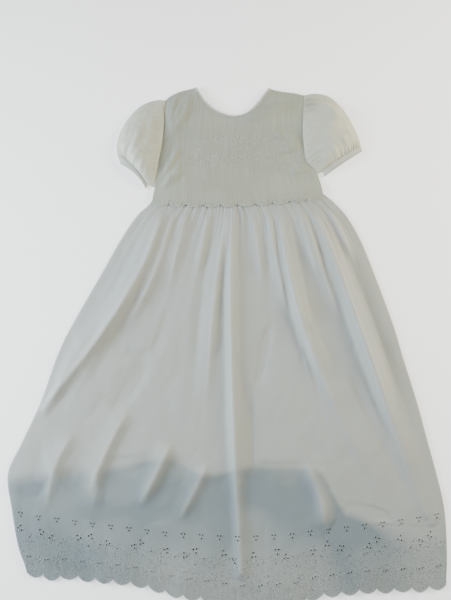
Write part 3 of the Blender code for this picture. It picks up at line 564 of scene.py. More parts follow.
def skirt_plan(u, v):
    line = dict(zip(SKIRT_COLUMNS, np.moveaxis(spline(SKIRT_SECTIONS, v), -1, 0)))
    uneven = sum(size * np.sin(rate * u + start) for size, rate, start in UNEVEN_GATHERS)
    across = u + uneven * np.sin(math.pi * u) * (1.0 - v) ** 2
    x = mixed(line["left_x"], line["right_x"], across)
    bow = line["middle_y"] - (line["left_y"] + line["right_y"]) / 2
    y = mixed(line["left_y"], line["right_y"], across) + bow * 4.0 * across * (1.0 - across)
    y += stepped(HEM_WAVE, u) * towards_hem(v, HEM_WAVE_FROM)
    scallops = HEM_SCALLOP_DEPTH * scallop(u, HEM_SCALLOPS) + HEM_COVER
    y -= scallops * towards_hem(v, SCALLOPS_FROM)
    return x, y, line


def skirt_place(u, v, wrinkle=1.0):
    """Places of the skirt's outer face: that of the solid, with finer gathers and wrinkles."""
    x, y, line = skirt_plan(u, v)
    from_side = np.minimum(u, 1.0 - u) * (line["right_x"] - line["left_x"])
    inner = eased(from_side / SIDE_SLOPE)
    height = mixed(SIDE_FACE, line["crown"], inner)
    down = np.maximum(0.0, -y)

    # gathers of uneven height, flatter where they pass under the bodice, and finer ones between
    tucked = np.exp(-((down / TUCKED_REACH) ** 2))
    gathers = GATHER_LIFT * np.sin(2.0 * math.pi * GATHERS * u) * np.exp(-down / GATHER_FADE)
    gathers *= 0.55 + 0.40 * np.sin(31.0 * u + 2.0 * np.sin(11.0 * u))
    gathers = gathers * (1.0 - TUCKED_FLATTER * tucked) + TUCKED_LIFT * tucked
    shift = 1.7 * np.sin(9.0 * u) + 1.1 * np.sin(23.0 * u + 1.0)
    finer = FINE_LIFT * np.sin(2.0 * math.pi * FINE_GATHERS * u + shift)
    finer = finer * np.exp(-down / FINE_FADE)
    height += (gathers + finer * wrinkle) * eased(from_side / GATHER_SLOPE)

    # long folds, each with a crisp crest on its round body
    folds = fold_lift(x, y, SKIRT_FOLDS)
    for taller, wider in CREST_LAYERS:
        folds += wrinkle * fold_lift(x, y, SKIRT_RIDGES, taller, wider, crisp=True)
    height += folds * (eased(from_side / FOLD_SLOPE) * eased((-FOLD_START - y) / FOLD_RUN))

    # the storage crease and the ripple of the hem
    below = stepped(CREASE, x) - y
    step = CREASE_STEP * eased(below / CREASE_WIDTH)
    height -= step * (1.0 - eased((below - CREASE_REACH) / CREASE_END)) * inner
    ripple = HEM_RIPPLE * np.sin(2.0 * math.pi * HEM_RIPPLES * u + 1.0)
    height += ripple * towards_hem(v, HEM_WAVE_FROM) * inner

    # small wrinkles and facets
    small = fold_lift(x, y, SKIRT_WRINKLES, crisp=True) + rumpled(x, y, SKIRT_WAVES)
    small += FACET_LIFT * crumple(x, y * 0.7, FACET_SIZE, 2.5)
    height += small * wrinkle * eased(from_side / 0.012) * eased(down / 0.020)
    height = np.maximum(height, LOW_FACE)
    return x, y, mixed(EDGE_START, height, edge_fold(from_side))


def skirt_shade(x, y):
    """Depth of painted shade: 0 on the crests of the folds, which so get a painted highlight,
    BASE_PAINTED_SHADE beside them and up to 1 below the storage crease, where the right side is
    lighter again."""
    below = stepped(CREASE, x) - y
    # the painted shade starts more softly towards the sides, fades towards the hem and is weaker on
    # the folds
    soft = 0.012 + 0.018 * eased((np.abs(x) - 0.12) / 0.10)
    fade = mixed(0.15, 0.55, eased((x + 0.22) / 0.16))
    ridge = eased(fold_lift(x, y, SKIRT_RIDGES, 1.0, 0.8) / 0.0050)
    shade = eased(below / soft) * (1.0 - fade * eased((below - 0.06) / 0.09)) * (1.0 - 0.55 * ridge)
    shade *= 1.0 - 0.65 * eased((x - 0.17) / 0.08)
    patchy = 0.90 + 0.30 * rumple(x, y, 0.05, 11.0)
    # painted shade, deeper in some places below the crease and lighter in others
    shade += spots(x, y, PAINTED_SHADE_SPOTS) * eased(below / 0.006)
    # a painted highlight along the crest of each fold, below the waist
    crest = fold_lift(x, y, SKIRT_RIDGES, 1.0, CREST_HIGHLIGHT_WIDTH, crisp=True) / CREST_HIGHLIGHT_LIFT
    crest = np.clip(crest, 0.0, 1.0) * eased((-0.012 - y) / 0.02)
    return BASE_PAINTED_SHADE * (1.0 - crest) + (1.0 - BASE_PAINTED_SHADE) * np.clip(shade * patchy, 0.0, 1.0)


# The bodice's cloth: u from left to right and v from the waist up


def waist_seam(u):
    ends = np.array([LEFT_EDGE[0], RIGHT_EDGE[0]])
    x = mixed(ends[0, 0], ends[1, 0], u)
    y = mixed(ends[0, 1], ends[1, 1], u) - WAIST_DIP * 4.0 * u * (1.0 - u)
    return np.stack([x, y], -1)


def neck_point(share, inset):
    """Places along the neck's edge, that far inside the cloth."""
    here = spline(NECK, share)
    run = spline(NECK, share + 0.01) - spline(NECK, share - 0.01)
    run = run / np.linalg.norm(run, axis=-1, keepdims=True)
    return here + np.stack([run[..., 1] * inset, -run[..., 0] * inset], -1)


def bodice_top(u, inset):
    tips = neck_point(np.array([0.0, 1.0]), inset)
    left = spline([*LEFT_SHOULDER, tips[0]], u / NECK_LEFT)
    right = spline([tips[1], *RIGHT_SHOULDER], (u - NECK_RIGHT) / (1.0 - NECK_RIGHT))
    neck = neck_point(np.clip((u - NECK_LEFT) / (NECK_RIGHT - NECK_LEFT), 0.0, 1.0), inset)
    top = np.where((u < NECK_LEFT)[..., None], left, neck)
    return np.where((u > NECK_RIGHT)[..., None], right, top)


def bodice_plan(u, v):
    """Coons patch between the scalloped border, the two sides, and the shoulders and neck."""
    low = waist_seam(u)
    low[..., 1] -= WAIST_SCALLOP_DEPTH * scallop(u, WAIST_SCALLOPS)
    high = bodice_top(u, 2 * BINDING_RADIUS + SEAM_GAP)
    left, right = spline(LEFT_EDGE, v), spline(RIGHT_EDGE, v)
    ends = waist_seam(np.array([0.0, 1.0]))
    across, along = u[..., None], v[..., None]
    low_corners = mixed(ends[0], ends[1], across)
    high_corners = mixed(np.array(LEFT_EDGE[-1]), np.array(RIGHT_EDGE[-1]), across)
    corners = mixed(low_corners, high_corners, along)
    place = mixed(low, high, along) + mixed(left, right, across) - corners
    return place[..., 0], place[..., 1]


def bodice_shares(x, y):
    """Shares u and v at which the bodice's plan lies over each place x, y, found step by step."""
    rounds, part = 40, 0.8
    width, length = 0.24, 0.17
    u, v = np.full_like(x, 0.5), np.full_like(x, 0.5)
    for _ in range(rounds):
        px, py = bodice_plan(u, v)
        u = np.clip(u + part * (x - px) / width, 0.0, 1.0)
        v = np.clip(v + part * (y - py) / length, 0.0, 1.0)
    return u, v


def at_armhole(v):
    return eased((v - UNDERARM + 0.04) / 0.06)


def bodice_place(u, v, wrinkle=1.0):
    """Places of the bodice's outer face, from the border over the waist up to the shoulders."""
    x, y = bodice_plan(u, v)
    from_side = np.minimum(u, 1.0 - u) * BODICE_WIDTH
    low = mixed(BODICE_FACE, ARMHOLE_HEIGHT, at_armhole(v))
    height = mixed(low, CHEST_HEIGHT, eased(from_side / CHEST_SLOPE))
    folds = fold_lift(x, y, BODICE_FOLDS)
    folds += wrinkle * fold_lift(x, y, BODICE_FOLDS, 0.55, 0.9, crisp=True)
    height += folds * eased(from_side / FOLD_SLOPE)
    small = fold_lift(x, y, BODICE_WRINKLES, crisp=True) + rumpled(x, y, BODICE_WAVES)
    height += small * wrinkle * eased(from_side / 0.008)

    # the border lies over the waist seam
    share = (x - LEFT_EDGE[0][0]) / (RIGHT_EDGE[0][0] - LEFT_EDGE[0][0])
    above_waist = y - waist_seam(share)[..., 1]
    over_waist = 1.0 - eased((above_waist - WAIST_OVERLAP - WAIST_CLEAR) / WAIST_RISE)
    border = mixed(WAIST_SIDE_HEIGHT, WAIST_HEIGHT, eased(from_side / BORDER_SLOPE))
    border = border - WAIST_DROOP * (1.0 - eased(v * BODICE_LENGTH / WAIST_DROOP_REACH))
    height = mixed(height, border, over_waist)

    # the edges turn down at the sides and at the shoulders
    side_height = mixed(EDGE_START, ARMHOLE_HEIGHT, at_armhole(v))
    side_height = mixed(side_height, WAIST_SIDE_HEIGHT, over_waist)
    height = mixed(side_height, height, edge_fold(from_side))
    into_neck = np.minimum(u - NECK_LEFT, NECK_RIGHT - u) * BODICE_WIDTH
    shoulder = 1.0 - eased((into_neck + NECK_TURN / 2) / NECK_TURN)
    from_top = (1.0 - v) * BODICE_LENGTH
    rounded = mixed(EDGE_START, BODICE_FACE, edge_fold(from_top))
    turned = mixed(rounded, height, eased(from_top / SHOULDER_SLOPE))
    return x, y, mixed(height, turned, shoulder)


# Painted shade of the bodice: its spots of painted shade and painted light over an even base, and a
# little tone at random
def bodice_shade(x, y):
    return np.clip(0.14 + spots(x, y, BODICE_PAINTED_LIGHT_AND_SHADE) + 0.06 * rumple(x, y, 0.022, 14.0), 0.0, 1.0)


# Meshes


def shared_collection():
    home = bpy.data.collections.get("Gown looks")
    if home is None:
        home = bpy.data.collections.new("Gown looks")
        bpy.context.scene.collection.children.link(home)
    return home


def new_piece(name, points, faces, material, uvs=None, shade=None):
    """An object from places round the waist's middle, with its UVs and its depth of painted shade.
    """
    mesh = bpy.data.meshes.new(name)
    points = np.asarray(points, float) + np.array([*WAIST, 0.0])
    mesh.from_pydata(points.tolist(), [], [list(map(int, face)) for face in faces])
    if uvs is not None:
        layer = mesh.uv_layers.new(name="Cloth")
        corners = np.empty(len(mesh.loops), dtype=np.int32)
        mesh.loops.foreach_get("vertex_index", corners)
        layer.data.foreach_set("uv", np.asarray(uvs, float)[corners].ravel())
    if shade is not None:
        # the painted shade of each point
        tone = mesh.attributes.new("shade", "FLOAT", "POINT")
        tone.data.foreach_set("value", np.asarray(shade, np.float32))
    mesh.shade_smooth()
    mesh.validate()
    mesh.materials.append(material)
    piece = bpy.data.objects.new(name, mesh)
    shared_collection().objects.link(piece)
    return piece


def thickened(piece, wall):
    """Gives a sheet its thickness, inwards, and keeps the edges of its wall crisp."""
    layer = piece.modifiers.new("Cloth wall", "SOLIDIFY")
    layer.thickness = wall
    layer.offset = -1.0
    bpy.context.view_layer.update()
    seen = piece.evaluated_get(bpy.context.evaluated_depsgraph_get())
    thin = piece.data
    piece.data = bpy.data.meshes.new_from_object(seen)
    piece.modifiers.remove(layer)
    piece.data.name = thin.name
    bpy.data.meshes.remove(thin)
    piece.data.shade_smooth()
    piece.data.set_sharp_from_angle(angle=math.radians(50.0))
    return piece


def with_eyelets(s, t, holes):
    """Moves the points round each hole onto its circle and says which faces the holes take out."""
    s, t = s.copy(), t.copy()
    keep = np.ones((s.shape[0] - 1, s.shape[1] - 1), bool)
    first_s, first_t = s.copy(), t.copy()
    mid_s, mid_t = (
        (way[:-1, :-1] + way[1:, :-1] + way[:-1, 1:] + way[1:, 1:]) / 4 for way in (s, t)
    )
    for hole_s, hole_t, radius in holes:
        near = np.hypot(mid_s - hole_s, mid_t - hole_t)
        gone = near < radius * 0.92
        if not gone.any():
            gone = near <= near.min()
        keep &= ~gone
        rows, columns = np.nonzero(gone)
        r1, r2 = max(rows.min() - 1, 0), rows.max() + 3
        c1, c2 = max(columns.min() - 1, 0), columns.max() + 3
        taken = np.zeros_like(s, bool)
        for row, across in zip(rows, columns):
            taken[row : row + 2, across : across + 2] = True
        window = np.zeros_like(s, bool)
        window[r1:r2, c1:c2] = True
        off_s, off_t = first_s - hole_s, first_t - hole_t
        far = np.maximum(np.hypot(off_s, off_t), 1e-6)
        moved = window & (taken | (far < radius))
        s[moved] = hole_s + (off_s / far)[moved] * radius
        t[moved] = hole_t + (off_t / far)[moved] * radius
    return s, t, keep


def grid_piece(name, places, s, t, material, keep=None, flip=False, closed=False, shade=None):
    """A cloth sheet from arrays of places, with cloth distances s and t as its UVs."""
    rows, columns = s.shape
    index = np.arange(rows * columns).reshape(rows, columns)
    if closed:
        index[:, -1] = index[:, 0]
    a, b = index[:-1, :-1], index[:-1, 1:]
    c, d = index[1:, 1:], index[1:, :-1]
    faces = np.stack([a, b, c, d] if flip else [d, c, b, a], -1)
    faces = faces.reshape(-1, 4) if keep is None else faces[keep]
    used = np.unique(faces)
    new_index = np.full(rows * columns, -1)
    new_index[used] = np.arange(len(used))
    points = np.stack([way.ravel() for way in places], -1)[used]
    uvs = np.stack([s.ravel(), t.ravel()], -1)[used]
    tone = None if shade is None else shade.ravel()[used]
    return new_piece(name, points, new_index[faces], material, uvs, tone)


def between_rings(rings, sides, closed=False):
    """Faces between rings of points; closed joins the last ring to the first."""
    faces = []
    for ring in range(rings if closed else rings - 1):
        here, above = ring * sides, (ring + 1) % rings * sides
        for step in range(sides):
            after = (step + 1) % sides
            faces.append([here + step, here + after, above + after, above + step])
    return faces


def ring_shape(around=14, section=5, thickness=0.30):
    """A ring of outer size 1, for the corded rim of an eyelet."""
    points = []
    for turn in turns(around):
        for tilt in turns(section):
            reach, high = 1.0 + thickness * math.cos(tilt), thickness * math.sin(tilt)
            points.append((reach * math.cos(turn), reach * math.sin(turn), high))
    return np.array(points), [[a, d, c, b] for a, b, c, d in between_rings(around, section, True)]


def satin_shape(around=8, levels=(0.0, 0.55, 0.9)):
    """A low leaf of satin stitches, 1 long each way from its middle."""
    points = []
    for level in levels:
        size = math.sqrt(1.0 - level * level)
        points += [(size * math.cos(turn), size * math.sin(turn), level) for turn in turns(around)]
    top = len(points)
    last = top - around
    faces = between_rings(len(levels), around)
    faces += [[last + step, last + (step + 1) % around, top] for step in range(around)]
    faces.append(list(reversed(range(around))))
    return np.array([*points, (0.0, 0.0, 1.0)]), faces


def surface_frames(place, spots, cloth):
    """For spots (u, v, angle, sizes): each middle, its two axes in the cloth and its normal."""
    u = np.array([spot[0] for spot in spots])
    v = np.array([spot[1] for spot in spots])
    step_u, step_v = 0.0008 / cloth[0], 0.0008 / cloth[1]
    here = np.stack(place(u, v), -1)
    right = np.stack(place(u + step_u, v), -1) - np.stack(place(u - step_u, v), -1)
    ahead = np.stack(place(u, v + step_v), -1) - np.stack(place(u, v - step_v), -1)
    right /= np.linalg.norm(right, axis=-1, keepdims=True)
    up = np.cross(right, ahead)
    up /= np.linalg.norm(up, axis=-1, keepdims=True)
    up = np.where(up[:, 2:] < 0, -up, up)
    ahead = np.cross(up, right)
    for number, (_, _, angle, sizes) in enumerate(spots):
        along = math.cos(angle) * right[number] + math.sin(angle) * ahead[number]
        across = -math.sin(angle) * right[number] + math.cos(angle) * ahead[number]
        yield here[number], along, across, up[number], sizes


def embroidery(name, place, rings, leaves, cloth, material, tone=None):
    """One piece of raised needlework: corded rings round eyelets and satin leaves."""
    points, faces, start = [], [], 0
    for (shape, shape_faces), stitches in ((ring_shape(), rings), (satin_shape(), leaves)):
        for middle, along, across, up, sizes in surface_frames(place, stitches, cloth):
            points.append(
                middle + shape[:, :1] * along * sizes[0]
                + shape[:, 1:2] * across * sizes[1] + shape[:, 2:3] * up * sizes[2]
            )
            faces.extend([corner + start for corner in face] for face in shape_faces)
            start += len(shape)
    points = np.concatenate(points)
    shade = None if tone is None else tone(points[:, 0], points[:, 1])
    return new_piece(name, points, faces, material, shade=shade)


def rolled(name, line, radius, material, sides=8, wave=1.0, tone=None):
    """A round cord through the points of a line, its ends closed."""
    line = np.asarray(line, float)
    count = len(line)
    run = np.gradient(line, axis=0)
    run /= np.linalg.norm(run, axis=1, keepdims=True)
    side = np.cross(run, np.array([0.0, 0.0, 1.0]))
    side /= np.linalg.norm(side, axis=1, keepdims=True)
    top = np.cross(side, run)
    around = np.linspace(0.0, 2.0 * math.pi, sides, endpoint=False)
    ends = np.minimum(np.arange(count), np.arange(count)[::-1])
    radii = radius * wave * np.array([CORD_ENDS[min(end, len(CORD_ENDS) - 1)] for end in ends])
    rings = (
        line[:, None]
        + radii[:, None, None] * np.cos(around)[None, :, None] * side[:, None]
        + radii[:, None, None] * np.sin(around)[None, :, None] * top[:, None]
    )
    points = rings.reshape(-1, 3)
    faces = between_rings(count, sides)
    faces.append(list(range(sides)))
    faces.append([(count - 1) * sides + step for step in reversed(range(sides))])
    distance = np.concatenate([[0.0], np.cumsum(np.linalg.norm(np.diff(line, axis=0), axis=1))])
    uvs = np.stack(np.broadcast_arrays(distance[:, None], around[None] * radius), -1)
    shade = None if tone is None else tone(points[:, 0], points[:, 1])
    return new_piece(name, points, faces, material, uvs.reshape(-1, 2), shade)


# Materials


def node(tree, kind, **inputs):
    made = tree.nodes.new(f"ShaderNode{kind}")
    for key, value in inputs.items():
        name = key.replace("_", " ")
        if name in made.inputs:
            made.inputs[name].default_value = value
        else:
            setattr(made, key, value)
    return made


def placed(tree, kind, place, **inputs):
    """A node that reads places, such as a texture."""
    made = node(tree, kind, **inputs)
    tree.links.new(place, made.inputs["Vector"])
    return made


def maths(tree, operation, first, second):
    made = node(tree, "Math", operation=operation)
    for socket, value in zip(made.inputs, (first, second)):
        if isinstance(value, (int, float)):
            socket.default_value = value
        else:
            tree.links.new(value, socket)
    return made.outputs[0]


def ramp(tree, value, low, high):
    """0 at low and 1 at high, eased between them; low may be the greater one."""
    made = node(tree, "MapRange", interpolation_type="SMOOTHSTEP")
    made.inputs["From Min"].default_value = min(low, high)
    made.inputs["From Max"].default_value = max(low, high)
    made.inputs["To Min"].default_value = float(low > high)
    made.inputs["To Max"].default_value = float(low < high)
    tree.links.new(value, made.inputs["Value"])
    return made.outputs["Result"]


def drifted(tree, first, second, amount):
    """A colour that drifts to a second one."""
    mix = node(tree, "Mix", data_type="RGBA")
    mix.inputs[6].default_value = (*first, 1.0)
    mix.inputs[7].default_value = (*second, 1.0)
    tree.links.new(amount, mix.inputs[0])
    return mix.outputs[2]


def darkened(tree, shown, colour, amount):
    """The shown colour, multiplied by another where the amount asks for it."""
    mix = node(tree, "Mix", data_type="RGBA", blend_type="MULTIPLY")
    mix.inputs[7].default_value = (*colour, 1.0)
    tree.links.new(shown, mix.inputs[6])
    tree.links.new(amount, mix.inputs[0])
    return mix.outputs[2]


def surface(name, values):
    """A new material with those even values on its shader."""
    made = bpy.data.materials.new(name)
    made.use_nodes = True
    shader = made.node_tree.nodes["Principled BSDF"]
    for socket, value in values.items():
        shader.inputs[socket].default_value = value
    return made


def finished(tree, shown, height, strength, distance):
    """Leads the colour and the bump into the shader."""
    shader = tree.nodes["Principled BSDF"]
    bump = node(tree, "Bump", Strength=strength, Distance=distance)
    tree.links.new(height, bump.inputs["Height"])
    tree.links.new(bump.outputs[0], shader.inputs["Normal"])
    tree.links.new(shown, shader.inputs["Base Color"])


def netted(tree, cloth, shown, height, bottom, top, cell, depth, painted_gap_shade):
    """The fine netting between a border's motifs: raised cords, with painted shade in its gaps."""
    up = placed(tree, "SeparateXYZ", cloth).outputs["Y"]
    mask = maths(
        tree, "MULTIPLY", ramp(tree, up, bottom, bottom + 0.004), ramp(tree, up, top, top - 0.008)
    )
    bent = node(tree, "VectorMath", operation="MULTIPLY_ADD")
    uneven = placed(tree, "TexNoise", cloth, Scale=150.0)
    tree.links.new(uneven.outputs["Color"], bent.inputs[0])
    bent.inputs[1].default_value = (cell, cell, 0.0)
    tree.links.new(cloth, bent.inputs[2])
    inwards = placed(
        tree, "TexVoronoi", bent.outputs[0], feature="DISTANCE_TO_EDGE", Scale=1.0 / cell
    ).outputs["Distance"]
    corded = maths(tree, "MULTIPLY", ramp(tree, inwards, 0.22, 0.05), mask)
    # the open cells get painted shade
    opened = maths(tree, "MULTIPLY", ramp(tree, inwards, 0.20, 0.36), mask)
    height = maths(tree, "ADD", height, maths(tree, "MULTIPLY", corded, depth))
    return darkened(tree, shown, (painted_gap_shade, painted_gap_shade * 1.05, painted_gap_shade * 1.12), opened), height


def crinkled(tree, cloth, shown, height, pitch, depth):
    """Uneven crinkles along the cloth, with painted shade in their grooves."""
    drawn = placed(tree, "Mapping", cloth, Scale=(1.0 / pitch, 0.05 / pitch, 1.0))
    uneven = placed(tree, "TexNoise", drawn.outputs[0], Scale=1.0, Detail=3.0)
    crests = ramp(tree, uneven.outputs["Fac"], 0.30, 0.70)
    height = maths(tree, "ADD", height, maths(tree, "MULTIPLY", crests, depth))
    # painted shade in the grooves
    grooves = maths(tree, "SUBTRACT", 1.0, crests)
    return darkened(tree, shown, (DARKER, DARKER, DARKER * 0.98), grooves), height


def made_once(make):
    """Lets pieces share the material of a name that is there already."""

    def kept(name, *values, **options):
        return bpy.data.materials.get(name) or make(name, *values, **options)

    return kept


@made_once
def fabric(
    name, colour, second, thread, netting=None, crinkles=None, painted_shade_tint=None, inside=None,
    roughness=0.82, thin=0.0,
):
    """Woven cotton: threads both ways, painted shade in the gaps between them and soft patches of a
    second tint. Where they are asked for, it has the painted shade of its shade attribute, a
    border's netting, fine crinkles, or painted shade on an inner side that lies under the front."""
    values = {
        "Roughness": roughness, "Sheen Weight": 0.25, "Sheen Roughness": 0.45,
        "Specular IOR Level": 0.25,
    }
    if thin:
        values |= {
            "Subsurface Weight": thin, "Subsurface Radius": (1.0, 0.9, 0.75),
            "Subsurface Scale": 0.002,
        }
    made = surface(name, values)
    tree = made.node_tree
    cloth = node(tree, "UVMap", uv_map="Cloth").outputs[0]
    coordinates = node(tree, "TexCoord").outputs
    warp, weft = (
        placed(
            tree, "TexWave", cloth, bands_direction=way, Distortion=0.6,
            Scale=math.pi / (10.0 * pitch),
        ).outputs["Fac"]
        for way, pitch in (("X", thread), ("Y", thread * 1.1))
    )
    slub = placed(tree, "TexNoise", cloth, Scale=420.0, Detail=3.0).outputs["Fac"]
    weave = maths(tree, "MULTIPLY", warp, weft)
    height = maths(tree, "MULTIPLY", maths(tree, "ADD", weave, slub), THREAD_HEIGHT)
    patches = placed(tree, "TexNoise", coordinates["Object"], Scale=9.0, Detail=4.0)
    shown = drifted(tree, colour, second, patches.outputs["Fac"])
    # painted shade in the gaps between the threads
    gaps = maths(tree, "MULTIPLY", maths(tree, "SUBTRACT", 1.0, weave), 0.45)
    shown = darkened(tree, shown, (DARKER, DARKER, DARKER), gaps)
    # painted shade from the piece's shade attribute, multiplied in by its tint; where the attribute
    # is low, as on the skirt's crests, this leaves a painted highlight
    if painted_shade_tint:
        tone = node(tree, "Attribute", attribute_name="shade").outputs["Fac"]
        shown = darkened(tree, shown, painted_shade_tint, tone)
    if netting:
        shown, height = netted(tree, cloth, shown, height, *netting)
    if crinkles:
        shown, height = crinkled(tree, cloth, shown, height, *crinkles)
    # painted shade on the faces that look up, the back's inner side under the front, which darkens
    # what shows through the eyelets
    if inside:
        facing = placed(tree, "SeparateXYZ", coordinates["Normal"]).outputs["Z"]
        shown = darkened(tree, shown, inside, ramp(tree, facing, 0.5, 0.95))
    finished(tree, shown, height, 0.8, 1.0)
    return made


@made_once
def satin(name, colour, roughness=0.5, painted_shade_tint=(1.0, 1.0, 1.0)):
    """Smooth embroidery thread, with the ridges of its stitches and the painted shade of its shade
    attribute.
    """
    made = surface(name, {"Roughness": roughness, "Sheen Weight": 0.3, "Specular IOR Level": 0.4})
    tree = made.node_tree
    place = node(tree, "TexCoord").outputs["Object"]
    strands, patches = (
        placed(tree, "TexNoise", place, Scale=scale, Detail=2.0).outputs["Fac"]
        for scale in (1800.0, 60.0)
    )
    shown = drifted(tree, colour, [part * DARKER for part in colour], patches)
    # painted shade from the shade attribute of the cloth under the thread
    tone = node(tree, "Attribute", attribute_name="shade").outputs["Fac"]
    shown = darkened(tree, shown, painted_shade_tint, tone)
    finished(tree, shown, strands, 0.6, 0.0002)
    return made


# The back's plain cotton, with painted shade on its inner side
def back_cotton(settings):
    return fabric(
        "Back cotton", settings.cotton, settings.cotton_shade, settings.thread,
        inside=settings.inside,
    )


def skirt_cotton(settings):
    return fabric(
        "Skirt cotton", settings.cotton, settings.cotton_shade, settings.thread,
        netting=HEM_NETTING, painted_shade_tint=settings.painted_shade_tint,
    )


def bodice_cotton(settings):
    return fabric(
        "Bodice cotton", settings.bodice, settings.bodice_shade, settings.thread,
        netting=WAIST_NETTING, crinkles=CRINKLES, painted_shade_tint=settings.patches_and_painted_shade,
    )


def sleeve_cotton(settings):
    return fabric(
        "Sleeve cotton", settings.sleeve, settings.sleeve_shade, settings.thread,
        painted_shade_tint=settings.patches_and_painted_shade, thin=0.3,
    )


def trim_cotton(settings):
    return fabric(
        "Binding cotton", settings.trim, settings.trim_shade, settings.thread, roughness=0.75
    )


# Settings


def colour(name, description, default):
    return bpy.props.FloatVectorProperty(
        name=name, description=description, default=default, size=3, min=0.0, max=1.0,
        subtype="COLOR",
    )


def size(name, description, default, low, high):
    return bpy.props.FloatProperty(
        name=name, description=description, default=default, min=low, max=high, precision=5,
        unit="LENGTH",
    )


def amount(name, description, default, high, **unit):
    return bpy.props.FloatProperty(
        name=name, description=description, default=default, min=0.0, max=high, **unit
    )


class GownSettings(bpy.types.PropertyGroup):
    thread: size("Thread spacing", "Distance between the weave's threads", 0.0006, 0.0002, 0.002)
    wall: size("Cloth thickness", "Thickness of every cloth piece", 0.0007, 0.0003, 0.001)
    eyelet: size("Eyelet radius", "Radius of the round eyelets", 0.00115, 0.0007, 0.0018)
    wrinkle: amount(
        "Wrinkles", "Strength of the small wrinkles and fine gathers", 1.0, 1.5, subtype="FACTOR"
    )
    cotton: colour("Cotton", "Colour of the skirt", (0.539, 0.541, 0.477))
    cotton_shade: colour("Cotton patches", "Tint that the cotton drifts to", (0.505, 0.524, 0.515))
    # The bodice's colour is darker than the skirt's, partly painted shade
    bodice: colour("Bodice", "Colour of the bodice", (0.467, 0.478, 0.389))
    bodice_shade: colour("Bodice patches", "Tint that the bodice drifts to", (0.425, 0.451, 0.404))
    # Painted shade: the tint that darkens the skirt, its embroidery and its stitched edge below the
    # crease, and a little beside the crests of its folds
    painted_shade_tint: colour("Deeper tone", "Darkens the skirt below its crease", (0.454, 0.530, 0.614))
    # Painted shade: the tint for the sleeves' tucks and patches and for the bodice's spots of
    # painted shade and light
    patches_and_painted_shade: colour("Tucks", "Darkens the tucks of sleeves and bodice", (0.62, 0.63, 0.60))
    # Painted shade of the back's inner side, under the front
    inside: colour("Inside", "What the back's inner side is darkened by", (0.32, 0.344, 0.378))
    sleeve: colour("Sleeves", "Colour of the thin sleeves", (0.69, 0.685, 0.55))
    sleeve_shade: colour("Sleeve patches", "Tint that the sleeves drift to", (0.63, 0.64, 0.55))
    # The trims are lighter than the cotton, partly a painted highlight on the neck's binding
    trim: colour("Trims", "Colour of the binding and the cuffs", (0.66, 0.66, 0.58))
    trim_shade: colour("Trim patches", "Tint that the trims drift to", (0.52, 0.53, 0.51))
    needlework: colour("Embroidery", "Colour of the embroidery thread", (0.617, 0.618, 0.574))
    bodice_thread: colour("Bodice embroidery", "Colour of the bodice's thread", (0.49, 0.50, 0.44))
    button: colour("Buttons", "Colour of the buttons", (0.80, 0.79, 0.75))
    floor: colour("Floor", "Colour of the floor", (0.97, 0.97, 0.965))
    floor_glow: amount("Floor glow", "How much the floor shines, as a light table does", 1.0, 5.0)
    key: amount("Main light", "Power of the large light from the left", 12.6, 200.0, unit="POWER")
    fill: amount("Fill light", "Power of the warm light from the right", 9.6, 200.0, unit="POWER")
    sky: amount("Surround", "Strength of the even light all round", 0.26, 3.0)


# Pieces


def laid(piece, nodes=()):
    """Puts a piece on the body and hides the solids that it stands for."""
    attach(piece, "root")
    if nodes:
        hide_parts(*nodes)
    return piece


def side_columns(count, width):
    """Shares across a panel, with four more at each side for its rounded fold."""
    close = [EDGE_ROUND * part / width for part in (0.06, 0.13, 0.28, 0.5)]
    even = [step / count for step in range(count + 1)]
    even = [share for share in even[1:-1] if close[-1] * 1.2 < share < 1.0 - close[-1] * 1.2]
    return np.array([0.0, *close, *even, *[1.0 - part for part in reversed(close)], 1.0])


def stitched_edge(name, place, share, along, radius, thread, wall, tone=None):
    """A row of close stitches over an edge of the cloth."""
    edge = np.stack(place(share, np.full_like(share, along)), -1)
    edge[:, 2] -= wall / 2
    stitches = 1.0 + 0.18 * np.sin(np.arange(len(share)) * 2.1)
    return laid(rolled(name, edge, radius, thread, wave=stitches, tone=tone))


def beside(middle, reach, turn, cloth):
    """A place at that reach from a motif's middle, in the shares of a cloth of that size."""
    across, up = middle
    return across + reach * math.cos(turn) / cloth[0], up + reach * math.sin(turn) / cloth[1]


def petals(middle, reach, directions, sizes, cloth, lean=0.0):
    """Satin leaves round a motif's middle, as (share across, share up, angle, sizes)."""
    return [(*beside(middle, reach, turn, cloth), turn + lean, sizes) for turn in directions]


